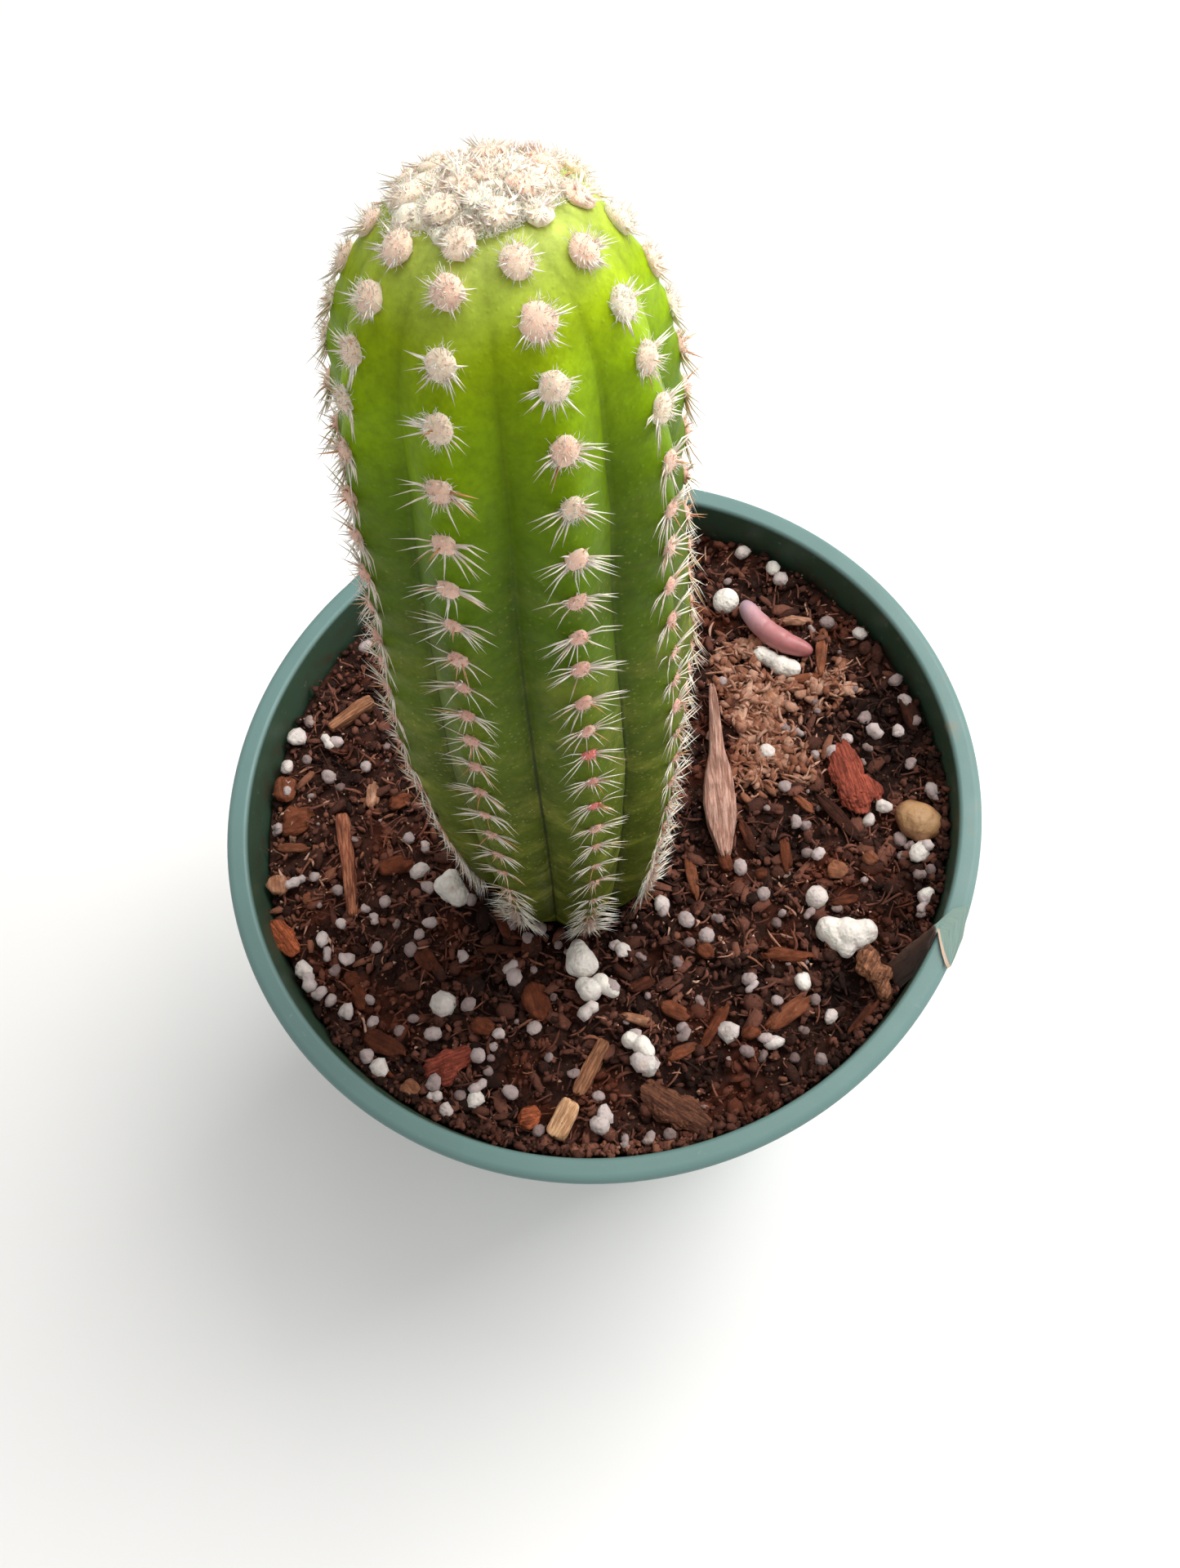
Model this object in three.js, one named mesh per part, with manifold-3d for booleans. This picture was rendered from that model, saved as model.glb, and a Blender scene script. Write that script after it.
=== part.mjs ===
// A young peanut cactus hybrid in a four-inch nursery pot: a thin plastic pot with a lip, the potting mix
// in it with its perlite and bark, and one ribbed stem whose areoles carry their spines.
// Millimetres, +Z up, origin on the ground under the middle of the pot. The viewer stands at -Y.
import * as THREE from "three";
import { mergeVertices } from "three/addons/utils/BufferGeometryUtils.js";
import Module from "manifold-3d";

const wasm = await Module();
wasm.setup();

// Pot
const POT_HEIGHT = 90;
const LIP_RADIUS = 51;
const LIP_WIDTH = 3.4;
const LIP_DEPTH = 6;
const LIP_TAPER = 0.8;
const LIP_OUTER_EDGE = [1.1, 0.9];
const LIP_INNER_EDGE = [0.6, 0.8];
const COLLAR_DEPTH = 19;
const COLLAR_STEP = 1.6;
const FOOT_RADIUS = 35.2;
const FOOT_RING_WIDTH = 3.6;
const WALL = 1.1;
const FLOOR_RISE = 2.2;
const FLOOR_THICKNESS = 1.4;
const DRAIN_HOLES = 5;
const DRAIN_RADIUS = 3.5;
const DRAIN_CIRCLE = 24;
const POT_SIDES = 48;

// Potting mix
const CLEARANCE = 0.3;
const BED_CLEARANCE = 0.5;
const STEM_CLEARANCE = 0.65;
const STEM_HOLE_TOP = 12;
const SOIL_LEVEL = 84.2;
const DIP_AT_STEM = 1.3;
const DIP_REACH = 13;
const SOIL_SECTORS = 36;
const SOIL_RINGS = [6, 12, 18, 24, 30, 35.5, 40.5, 44.2, 46.5];
const GRANULES = 76;
const GRANULE_FIELD = 43.8;
const GOLDEN_ANGLE = Math.PI * (3 - Math.sqrt(5));

// Stem: s is the height on it above its foot, which lies a little under the mix, and is negative below that
const STEM_FOOT = new THREE.Vector3(-5.4, -5.0, 80);
const STEM_HEIGHT = 113;
const LEAN_RIGHT = 0.028;
const LEAN_TO_VIEWER = 0.108;
const CURVE_BACK = 0.095;
const CURVE_RIGHT = 0.036;
const STEM_BOTTOM = -22;
const STEM_GIRTH = [
  [STEM_BOTTOM, 0.8],
  [-15, 3.2],
  [-7, 7.4],
  [0, 9.7],
  [8, 11.85],
  [16, 12.95],
  [26, 13.4],
  [36, 14.0],
  [60, 14.7],
  [87, 12.8],
];
const DOME_HEIGHT = 26;
const DOME_POWER = 2.46;
const RIBS = 9;
const FIRST_RIB = THREE.MathUtils.degToRad(-81.5);
const TWIST_AT_FOOT = THREE.MathUtils.degToRad(-12.3);
const TWIST_REACH = 60;
const RIB_DEPTH = 1.9;
const POINTS_PER_RIB = 4;

// Areoles and spines
const AREOLE_PITCH = 4.3;
const CROWN_PITCH = 3.7;
const CROWN_START = 100;
const FIRST_AREOLE = 8.3;
const WINDING = 4 / RIBS;
const AREOLE_RADIUS = 0.72;
const WOOL_EDGE = 0.15;
const WOOL_HEIGHT = 0.95;
const ROOT_DEPTH = 0.7;
const SPINE_LENGTH = 4.1;
const SPINES_PER_AREOLE = 4;
const SPINES_SHORT_BELOW = 18;
const SHORTEST_AT_FOOT = 0.6;
const SHORT_IN_CROWN = 0.58;
const TIP_AREOLES = 5;
const SPINE_LIFT_UP = THREE.MathUtils.degToRad(42);
const SPINE_LIFT_DOWN = THREE.MathUtils.degToRad(18);

const GREEN_PLASTIC = [0x5c8a84, 0.45];
const DARK_PEAT = [0x2e1d17, 0.95];
const STEM_GREEN = [0x4f7d22, 0.55];
const PERLITE_WHITE = [0xd8d5d0, 0.9];
const TAN_WOOD = [0xb08563, 0.85];
const RED_BARK = [0x7a3524, 0.9];
const BROWN_BARK = [0x54342a, 0.9];
const STONE_TAN = [0xa98a55, 0.7];
const PINK_SKIN = [0xc9707a, 0.5];
const DRY_HUSK = [0xb79f88, 0.7];

// Seeded random numbers from 0 to 1, the same ones every run.
function seededDraws(seed) {
  let state = seed >>> 0;
  return () => {
    state = (Math.imul(state, 1664525) + 1013904223) >>> 0;
    return state / 4294967296;
  };
}

function toSolid(geometry) {
  const bare = new THREE.BufferGeometry().setAttribute("position", geometry.getAttribute("position"));
  if (geometry.index) bare.setIndex(geometry.index);
  const merged = mergeVertices(bare, 1e-4);
  return new wasm.Manifold(
    new wasm.Mesh({
      numProp: 3,
      vertProperties: new Float32Array(merged.attributes.position.array),
      triVerts: new Uint32Array(merged.index.array),
    }),
  );
}

// The largest body of a solid, so that no scrap is left behind by a cut.
function toGeometry(solid) {
  const bodies = solid.decompose().sort((a, b) => b.volume() - a.volume());
  const mesh = bodies[0].getMesh();
  const geometry = new THREE.BufferGeometry();
  geometry.setAttribute("position", new THREE.BufferAttribute(new Float32Array(mesh.vertProperties), 3));
  geometry.setIndex(new THREE.BufferAttribute(new Uint32Array(mesh.triVerts), 1));
  geometry.computeVertexNormals();
  return geometry;
}

function makeMesh(name, geometry, [color, roughness]) {
  const material = new THREE.MeshStandardMaterial({ color, roughness, metalness: 0, flatShading: true });
  const mesh = new THREE.Mesh(geometry, material);
  mesh.name = name;
  return mesh;
}

// A closed outline of [radius, height] pairs turned round the Z axis.
function turned(outline, sides) {
  const points = outline.map(([r, z]) => new THREE.Vector2(r, z));
  return new THREE.LatheGeometry(points, sides).rotateX(Math.PI / 2);
}

// Radius of the pot's outer wall below the collar, at height z.
function potOuterRadius(z) {
  const underCollar = LIP_RADIUS - LIP_WIDTH - COLLAR_STEP;
  const share = z / (POT_HEIGHT - COLLAR_DEPTH);
  return THREE.MathUtils.lerp(FOOT_RADIUS, underCollar, share);
}

// Radius of the pot's inner wall at height z, for the pot and for the mix that fills it.
function potInnerRadius(z) {
  const collarFoot = POT_HEIGHT - COLLAR_DEPTH;
  if (z < collarFoot) return potOuterRadius(z) - WALL;
  const mouth = LIP_RADIUS - LIP_WIDTH;
  return THREE.MathUtils.lerp(potOuterRadius(collarFoot) + 0.4, mouth, (z - collarFoot) / COLLAR_DEPTH);
}

function potOutline() {
  const collarFoot = POT_HEIGHT - COLLAR_DEPTH;
  const lipFoot = POT_HEIGHT - LIP_DEPTH;
  const mouth = LIP_RADIUS - LIP_WIDTH;
  const floorTop = FLOOR_RISE + FLOOR_THICKNESS;
  return [
    [0, FLOOR_RISE],
    [FOOT_RADIUS - FOOT_RING_WIDTH - 0.8, FLOOR_RISE],
    [FOOT_RADIUS - FOOT_RING_WIDTH, 0],
    [FOOT_RADIUS, 0],
    [potOuterRadius(collarFoot), collarFoot],
    [potInnerRadius(collarFoot + 2) + WALL, collarFoot + 2],
    [potInnerRadius(lipFoot) + WALL, lipFoot],
    [LIP_RADIUS - LIP_TAPER, lipFoot],
    [LIP_RADIUS, POT_HEIGHT - LIP_OUTER_EDGE[1]],
    [LIP_RADIUS - LIP_OUTER_EDGE[0], POT_HEIGHT],
    [mouth + LIP_INNER_EDGE[0], POT_HEIGHT],
    [mouth - 0.05, POT_HEIGHT - LIP_INNER_EDGE[1]],
    [potInnerRadius(collarFoot), collarFoot],
    [potInnerRadius(collarFoot - 0.6), collarFoot - 0.6],
    [potInnerRadius(floorTop), floorTop],
    [0, floorTop],
  ];
}

function potGeometry() {
  let pot = toSolid(turned(potOutline(), POT_SIDES));
  for (let i = 0; i < DRAIN_HOLES; i++) {
    const angle = ((i + 0.5) * 2 * Math.PI) / DRAIN_HOLES;
    const drill = new THREE.CylinderGeometry(DRAIN_RADIUS, DRAIN_RADIUS, 12, 16).rotateX(Math.PI / 2);
    drill.translate(DRAIN_CIRCLE * Math.cos(angle), DRAIN_CIRCLE * Math.sin(angle), FLOOR_RISE);
    pot = pot.subtract(toSolid(drill));
  }
  return toGeometry(pot);
}

// Height of the mix at a place: gentle lumps that fade out in the dip round the stem.
function soilHeight(x, y) {
  const lumps =
    0.42 * Math.sin(0.41 * x + 1.3) * Math.cos(0.36 * y - 0.6) +
    0.3 * Math.sin(0.83 * x - 0.62 * y + 0.9) +
    0.2 * Math.sin(1.37 * y + 0.71 * x + 2.1);
  const fromStem = Math.hypot(x - STEM_FOOT.x, y - STEM_FOOT.y);
  const dip = Math.exp(-((fromStem / DIP_REACH) ** 2));
  return SOIL_LEVEL + lumps * (1 - dip) - DIP_AT_STEM * dip;
}

// A closed skin over rings of points that all have the same count, with a single point at each end.
function skinned(lowEnd, rings, highEnd) {
  const count = rings[0].length;
  const points = [lowEnd, ...rings.flat(), highEnd];
  const last = points.length - 1;
  const faces = [];
  for (let i = 0; i < count; i++) {
    const next = (i + 1) % count;
    faces.push(0, 1 + next, 1 + i);
    const top = 1 + (rings.length - 1) * count;
    faces.push(last, top + i, top + next);
    for (let r = 0; r + 1 < rings.length; r++) {
      const a = 1 + r * count + i;
      const b = 1 + r * count + next;
      faces.push(a, b, b + count, a, b + count, a + count);
    }
  }
  const geometry = new THREE.BufferGeometry().setFromPoints(points);
  geometry.setIndex(faces);
  return geometry;
}

function ringOf(radius, count, heightAt) {
  return Array.from({ length: count }, (_, i) => {
    const angle = (i * 2 * Math.PI) / count;
    const x = radius * Math.cos(angle);
    const y = radius * Math.sin(angle);
    return new THREE.Vector3(x, y, heightAt(x, y));
  });
}

function soilBody() {
  const floor = FLOOR_RISE + FLOOR_THICKNESS + CLEARANCE;
  const collarFoot = POT_HEIGHT - COLLAR_DEPTH;
  const wallHeights = [floor + 3, collarFoot - 0.6, collarFoot + 0.9];
  const rings = [ringOf(potInnerRadius(floor) - 3, SOIL_SECTORS, () => floor)];
  for (const z of wallHeights) {
    rings.push(ringOf(potInnerRadius(z) - CLEARANCE - 0.15, SOIL_SECTORS, () => z));
  }
  for (const radius of [...SOIL_RINGS].reverse()) rings.push(ringOf(radius, SOIL_SECTORS, soilHeight));
  return toSolid(skinned(new THREE.Vector3(0, 0, floor), rings, new THREE.Vector3(0, 0, soilHeight(0, 0))));
}

// A rough grain: an icosahedron stretched to its three sizes, with its corners pushed in and out.
function grain(length, width, height, draw) {
  const shape = new THREE.IcosahedronGeometry(0.5, 0);
  const merged = mergeVertices(
    new THREE.BufferGeometry().setAttribute("position", shape.getAttribute("position")),
    1e-4,
  );
  const position = merged.getAttribute("position");
  for (let i = 0; i < position.count; i++) {
    const push = 0.86 + 0.28 * draw();
    position.setXYZ(
      i,
      position.getX(i) * length * push,
      position.getY(i) * width * push,
      position.getZ(i) * height * push,
    );
  }
  return merged;
}

// A splinter or flake of bark: a slab whose ends and edges are drawn in unevenly.
function splinter(length, width, height, draw) {
  const slab = new THREE.BoxGeometry(length, width, height, 3, 1, 1);
  const merged = mergeVertices(
    new THREE.BufferGeometry().setAttribute("position", slab.getAttribute("position")).setIndex(slab.index),
    1e-4,
  );
  const position = merged.getAttribute("position");
  const atEnd = (i) => i === 0 || i === 3;
  const shares = [0, 1, 2, 3].map((i) => (atEnd(i) ? 0.45 + 0.35 * draw() : 0.85 + 0.15 * draw()));
  const bow = 0.06 * length * (draw() - 0.5);
  for (let i = 0; i < position.count; i++) {
    const station = Math.round((position.getX(i) / length + 0.5) * 3);
    const side = atEnd(station) ? 0 : bow;
    position.setY(i, position.getY(i) * shares[station] + side);
    position.setZ(i, position.getZ(i) * (0.8 + 0.2 * shares[station]));
  }
  return merged;
}

// A small plump leaf or bud that has dropped: a bent tube with round ends.
function droppedBud(length, width, height) {
  const sides = 10;
  const stations = [0.07, 0.22, 0.4, 0.6, 0.78, 0.93];
  const bend = 0.16 * length;
  const middleAt = (u) => new THREE.Vector3(length * (u - 0.5), bend * ((2 * u - 1) ** 2 - 0.5), 0);
  const rings = stations.map((u) => {
    const size = Math.sqrt(1 - (2 * u - 1) ** 4);
    return Array.from({ length: sides }, (_, i) => {
      const angle = (i * 2 * Math.PI) / sides;
      const around = new THREE.Vector3(0, (Math.cos(angle) * width) / 2, (Math.sin(angle) * height) / 2);
      return middleAt(u).addScaledVector(around, size);
    });
  });
  return skinned(middleAt(0), rings, middleAt(1));
}

// Loose pieces that can be told apart on the mix. Each has its place, its yaw in degrees, its length, width
// and height, and how deep it is bedded as a share of its height.
const LOOSE_PIECES = [
  ["perlite_lump_right", grain, [27.5, -26.6], -18, [8.2, 5.6, 5.0], 0.35, PERLITE_WHITE],
  ["perlite_lump_pointed", grain, [-6.7, -20.5], 78, [5.2, 4.2, 4.4], 0.3, PERLITE_WHITE],
  ["perlite_lump_front", grain, [-5.6, -25.9], -9, [5.8, 4.4, 4.0], 0.35, PERLITE_WHITE],
  ["perlite_lump_left", grain, [-22.5, -6.6], -28, [5.2, 4.6, 4.4], 0.35, PERLITE_WHITE],
  ["perlite_lump_far", grain, [25.5, 26.9], 0, [4.0, 3.9, 3.8], 0.35, PERLITE_WHITE],
  ["perlite_lump_under_bud", grain, [29.3, 14.4], -50, [7.6, 3.4, 3.2], 0.4, PERLITE_WHITE],
  ["perlite_lump_centre_front", grain, [-2.0, -33.9], -60, [4.8, 3.6, 3.6], 0.35, PERLITE_WHITE],
  ["wood_sliver_beside_stem", splinter, [17.4, 1.2], 80, [29.5, 3.4, 1.9], 0.3, TAN_WOOD],
  ["wood_sliver_front", splinter, [-8.2, -34.6], 48, [7.2, 2.8, 1.7], 0.3, TAN_WOOD],
  ["wood_sliver_near_rim", splinter, [-13.6, -40.5], 36, [6.2, 3.1, 1.8], 0.3, TAN_WOOD],
  ["wood_sliver_left", splinter, [-32.2, 23.5], 22, [8.4, 2.5, 1.7], 0.3, TAN_WOOD],
  ["bark_stick_left", splinter, [-35.5, 0.4], 90, [16.2, 2.0, 1.8], 0.3, RED_BARK],
  ["bark_flake_right", splinter, [35.6, -4.9], 83, [10.4, 5.4, 1.9], 0.35, RED_BARK],
  ["bark_flake_front_left", splinter, [-26.9, -30.6], 10, [6.8, 5.2, 1.9], 0.35, RED_BARK],
  ["bark_flake_far_left", splinter, [-42.3, -7.0], -47, [5.6, 3.8, 1.8], 0.35, RED_BARK],
  ["bark_crumb_front", splinter, [-18.0, -38.9], -13, [3.4, 3.0, 2.0], 0.35, RED_BARK],
  ["bark_chunk_right", grain, [29.2, -33.0], -87, [6.2, 4.0, 4.0], 0.4, BROWN_BARK],
  ["bark_slab_front", splinter, [0.8, -41.3], -45, [10.0, 6.0, 2.1], 0.35, BROWN_BARK],
  ["pebble", grain, [41.0, -13.2], -15, [6.0, 5.6, 4.6], 0.35, STONE_TAN],
  ["dropped_bud", droppedBud, [31.6, 19.8], -52, [12.8, 3.6, 3.3], 0.25, PINK_SKIN],
];

// The husk leans from the mix over the lip at the viewer's right. Each of its ribs runs from a point on its
// edge nearer the viewer to a point on its far edge, and its middle stands up in a low ridge.
const HUSK_THICKNESS = 0.6;
const HUSK_RIDGE = 0.16;
const HUSK_RIBS = [
  [[32.2, -33.4, 84.8], [32.3, -30.9, 84.8]],
  [[34.0, -31.9, 87.5], [34.9, -29.9, 87.4]],
  [[35.2, -31.2, 90.4], [36.5, -29.4, 90.4]],
  [[36.6, -32.6, 90.9], [38.6, -29.8, 90.95]],
  [[37.1, -34.4, 90.7], [39.6, -31.2, 90.7]],
];

// One loose piece in its place, grown by `grow` all round: with 0 it is the piece, with more its bed.
function loosePieceGeometry([name, shape, [x, y], yaw, [length, width, height], bedded], grow) {
  const seed = [...name].reduce((sum, letter) => sum + letter.charCodeAt(0), 0);
  const geometry = shape(length + 2 * grow, width + 2 * grow, height + 2 * grow, seededDraws(seed));
  geometry.rotateZ(THREE.MathUtils.degToRad(yaw));
  geometry.translate(x, y, soilHeight(x, y) + height * (0.5 - bedded));
  return geometry;
}

// The torn husk of a dead leaf, thin and folded, grown by `grow` all round.
function huskGeometry(grow) {
  const half = HUSK_THICKNESS / 2 + grow;
  const ribs = HUSK_RIBS.map((ends) => ends.map((end) => new THREE.Vector3(...end)));
  const middles = ribs.map(([near, far]) => near.clone().lerp(far, 0.5));
  const sections = ribs.map(([near, far], i) => {
    const across = far.clone().sub(near);
    const ridge = (HUSK_RIDGE * across.length()) / 2;
    across.normalize();
    const along = middles[Math.min(i + 1, ribs.length - 1)].clone().sub(middles[Math.max(i - 1, 0)]);
    const out = along.clone().cross(across).normalize();
    near.addScaledVector(across, -grow);
    far.addScaledVector(across, grow);
    const surface = [near, middles[i].clone().addScaledVector(out, ridge), far];
    const face = (side) => surface.map((point) => point.clone().addScaledVector(out, side * half));
    return [...face(-1), ...face(1).reverse()];
  });
  const endPoint = (section) => section[1].clone().lerp(section[4], 0.5);
  return skinned(endPoint(sections[0]), sections, endPoint(sections.at(-1)));
}

// Perlite and bark grains set over the mix on a spiral of golden angles, each drawn a little off its place.
function fusedGrains() {
  const draw = seededDraws(20260731);
  const grains = [];
  for (let i = 0; i < GRANULES; i++) {
    const radius = GRANULE_FIELD * Math.sqrt((i + 0.5) / GRANULES);
    const angle = i * GOLDEN_ANGLE + 0.5 * (draw() - 0.5);
    const x = radius * Math.cos(angle);
    const y = radius * Math.sin(angle);
    const size = 2.2 + 1.9 * draw() ** 2;
    const stretch = 0.8 + 0.5 * draw();
    const turn = Math.PI * draw();
    const nearStem = Math.hypot(x - STEM_FOOT.x, y - STEM_FOOT.y) < 15.5;
    const nearPiece = LOOSE_PIECES.some(
      (piece) => Math.hypot(x - piece[2][0], y - piece[2][1]) < piece[4][0] / 2 + 0.7 * size,
    );
    if (nearStem || nearPiece) continue;
    const shape = grain(size * stretch, size / stretch, 0.9 * size, draw);
    shape.rotateZ(turn);
    shape.translate(x, y, soilHeight(x, y) + 0.08 * size);
    grains.push(toSolid(shape));
  }
  return grains;
}

// Smooth curve through the stem's girths, then a rounded dome up to the tip.
function crestRadius(s) {
  const domeFoot = STEM_HEIGHT - DOME_HEIGHT;
  const girthAt = (at) => {
    let i = 1;
    while (i < STEM_GIRTH.length - 1 && at > STEM_GIRTH[i][0]) i++;
    const [s0, r0] = STEM_GIRTH[i - 1];
    const [s1, r1] = STEM_GIRTH[i];
    return THREE.MathUtils.lerp(r0, r1, THREE.MathUtils.clamp((at - s0) / (s1 - s0), 0, 1));
  };
  const reach = 4;
  const girth = (girthAt(s - reach) + 2 * girthAt(s) + girthAt(s + reach)) / 4;
  if (s <= domeFoot) return girth;
  const share = Math.min(1, (s - domeFoot) / DOME_HEIGHT);
  return girth * (1 - share ** DOME_POWER) ** (1 / DOME_POWER);
}

// Middle of the stem at s and the two directions across it.
function stemFrame(s) {
  const u = Math.max(0, s) / STEM_HEIGHT;
  const rightward = LEAN_RIGHT + CURVE_RIGHT * u;
  const backward = CURVE_BACK * u - LEAN_TO_VIEWER;
  const middle = new THREE.Vector3(rightward * s, backward * s, s);
  const growth = new THREE.Vector3(rightward + CURVE_RIGHT * u, backward + CURVE_BACK * u, 1);
  growth.normalize();
  const across = new THREE.Vector3(0, 1, 0).cross(growth).normalize();
  const away = growth.clone().cross(across);
  return { middle: middle.add(STEM_FOOT), across, away };
}

// Angle of a rib's crest at s: the ribs turn a little round the stem towards its foot.
function crestAngle(rib, s) {
  const towardsFoot = THREE.MathUtils.clamp(1 - s / TWIST_REACH, 0, 2);
  return FIRST_RIB + (rib * 2 * Math.PI) / RIBS + TWIST_AT_FOOT * towardsFoot ** 2;
}

// Depth of the furrow at an angle, from 0 on a rib's crest to RIB_DEPTH in the furrow between two ribs.
function furrowDepth(s, angle) {
  const turns = ((angle - crestAngle(0, s)) * RIBS) / (2 * Math.PI);
  const offCrest = Math.abs(turns - Math.round(turns)) * 2;
  const nearFoot = THREE.MathUtils.smoothstep(s, -8, 16);
  const nearTip = 1 - THREE.MathUtils.smoothstep(s, STEM_HEIGHT - 16, STEM_HEIGHT - 1);
  return RIB_DEPTH * nearFoot * nearTip * offCrest ** 1.6;
}

function stemSurface(s, angle, grow = 0) {
  const { middle, across, away } = stemFrame(s);
  const radius = crestRadius(s) - furrowDepth(s, angle) + grow;
  middle.addScaledVector(across, radius * Math.cos(angle));
  return middle.addScaledVector(away, radius * Math.sin(angle));
}

// Stations of the areoles along a rib, a pitch apart measured over the surface and closer in the crown.
// Each rib starts a share of the pitch higher than the one before, so that the areoles wind up the stem.
function areoleStations(rib) {
  const stations = [];
  const step = 0.1;
  const start = FIRST_AREOLE + AREOLE_PITCH * ((rib * WINDING) % 1);
  let since = 0;
  for (let s = start; s < STEM_HEIGHT - 1.2; s += step) {
    since += Math.hypot(step, crestRadius(s) - crestRadius(s - step));
    const pitch = s < CROWN_START ? AREOLE_PITCH : CROWN_PITCH;
    if (stations.length && since < pitch) continue;
    stations.push(s);
    since = 0;
  }
  return stations;
}

// Stations of the stem's rings: half-way between areoles, at every second gap where the stem is straight.
function ringStations() {
  const areoles = areoleStations(0);
  const stations = [-18, -12, -7, -2.5, 3];
  for (let i = 0; i + 1 < areoles.length; i++) {
    const straight = areoles[i] > 12 && areoles[i] < STEM_HEIGHT - DOME_HEIGHT - 2;
    if (straight && i % 2) continue;
    stations.push((areoles[i] + areoles[i + 1]) / 2);
  }
  stations.push(STEM_HEIGHT - 0.55);
  return stations;
}

// The bare stem with its buried foot, up to the station topAt.
function stemBody(topAt, grow) {
  const ring = (s) =>
    Array.from({ length: RIBS * POINTS_PER_RIB }, (_, i) =>
      stemSurface(s, crestAngle(i / POINTS_PER_RIB, s), grow),
    );
  const rings = ringStations()
    .filter((s) => s < topAt)
    .map(ring);
  const { middle: tip } = stemFrame(topAt);
  return toSolid(skinned(stemFrame(STEM_BOTTOM - grow).middle, rings, tip));
}

// One areole: a low tuft of wool with tapering spines set round it, sunk into the stem. Local Z points
// out of the stem and local Y up along the rib.
function spineStar(spines, length, draw) {
  const outward = new THREE.Vector3(0, 0, 1);
  const points = [new THREE.Vector3(0, 0, WOOL_HEIGHT), new THREE.Vector3(0, 0, -ROOT_DEPTH)];
  const faces = [];
  const startAngle = Math.PI / spines + 0.4 * (draw() - 0.5);
  for (let i = 0; i < spines; i++) {
    const angle = startAngle + (i * 2 * Math.PI) / spines;
    const between = angle + Math.PI / spines;
    const reach = length * (0.85 + 0.3 * draw());
    const upward = 0.5 + 0.5 * Math.sin(angle);
    const lift = THREE.MathUtils.lerp(SPINE_LIFT_DOWN, SPINE_LIFT_UP, upward) * (0.85 + 0.3 * draw());
    const tipPoint = new THREE.Vector3(reach * Math.cos(lift), 0, reach * Math.sin(lift));
    points.push(tipPoint.applyAxisAngle(outward, angle));
    points.push(new THREE.Vector3(AREOLE_RADIUS, 0, WOOL_EDGE).applyAxisAngle(outward, between));
  }
  for (let i = 0; i < spines; i++) {
    const tip = 2 + 2 * i;
    const after = tip + 1;
    const before = 2 + 2 * ((i + spines - 1) % spines) + 1;
    faces.push(0, before, tip, 0, tip, after, 1, tip, before, 1, after, tip);
  }
  return new THREE.BufferGeometry().setFromPoints(points).setIndex(faces);
}

// Turns a star so that it stands on the stem at s and angle.
function placedStar(star, s, angle) {
  const step = 0.4;
  const here = stemSurface(s, angle);
  const above = stemSurface(Math.min(s + step, STEM_HEIGHT - 0.02), angle);
  const up = above.sub(stemSurface(s - step, angle)).normalize();
  const { across, away } = stemFrame(s);
  const around = across.clone().multiplyScalar(-Math.sin(angle)).addScaledVector(away, Math.cos(angle));
  const out = around.clone().cross(up).normalize();
  const side = up.clone().cross(out);
  const basis = new THREE.Matrix4().makeBasis(side, up, out).setPosition(here);
  return toSolid(star.applyMatrix4(basis));
}

function cactusGeometry() {
  const draw = seededDraws(9145);
  const stars = [];
  for (let rib = 0; rib < RIBS; rib++) {
    for (const s of areoleStations(rib)) {
      const fromFoot = Math.min(1, s / SPINES_SHORT_BELOW);
      const share = s > CROWN_START ? SHORT_IN_CROWN : THREE.MathUtils.lerp(SHORTEST_AT_FOOT, 1, fromFoot);
      const star = spineStar(SPINES_PER_AREOLE, share * SPINE_LENGTH, draw);
      stars.push(placedStar(star, s, crestAngle(rib, s)));
    }
  }
  for (let i = 0; i < TIP_AREOLES; i++) {
    const angle = FIRST_RIB + (i * 2 * Math.PI) / TIP_AREOLES;
    const star = spineStar(SPINES_PER_AREOLE, SHORT_IN_CROWN * SPINE_LENGTH, draw);
    stars.push(placedStar(star, STEM_HEIGHT - 0.35, angle));
  }
  return toGeometry(wasm.Manifold.union([stemBody(STEM_HEIGHT, 0), ...stars]));
}

function soilGeometry() {
  const beds = LOOSE_PIECES.map((piece) => toSolid(loosePieceGeometry(piece, BED_CLEARANCE)));
  beds.push(toSolid(huskGeometry(BED_CLEARANCE)));
  beds.push(stemBody(STEM_HOLE_TOP, STEM_CLEARANCE));
  const mix = wasm.Manifold.union([soilBody(), ...fusedGrains()]);
  return toGeometry(mix.subtract(wasm.Manifold.union(beds)));
}

const potted = new THREE.Group();
potted.name = "potted_peanut_cactus";
potted.add(makeMesh("pot", potGeometry(), GREEN_PLASTIC));
potted.add(makeMesh("soil", soilGeometry(), DARK_PEAT));
potted.add(makeMesh("cactus", cactusGeometry(), STEM_GREEN));
for (const piece of LOOSE_PIECES) {
  potted.add(makeMesh(piece[0], toGeometry(toSolid(loosePieceGeometry(piece, 0))), piece[6]));
}
potted.add(makeMesh("torn_husk", toGeometry(toSolid(huskGeometry(0))), DRY_HUSK));

export default potted;
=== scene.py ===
"""The looks of a potted peanut cactus: its plastic pot, the potting mix with perlite and bark, the ribbed
stem with woolly areoles and white spines, and the loose pieces that lie on the mix."""

import math

import bpy
import numpy as np
from bpy.props import FloatProperty, FloatVectorProperty, IntProperty, PointerProperty
from mathutils import Matrix, Vector, noise


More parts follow.
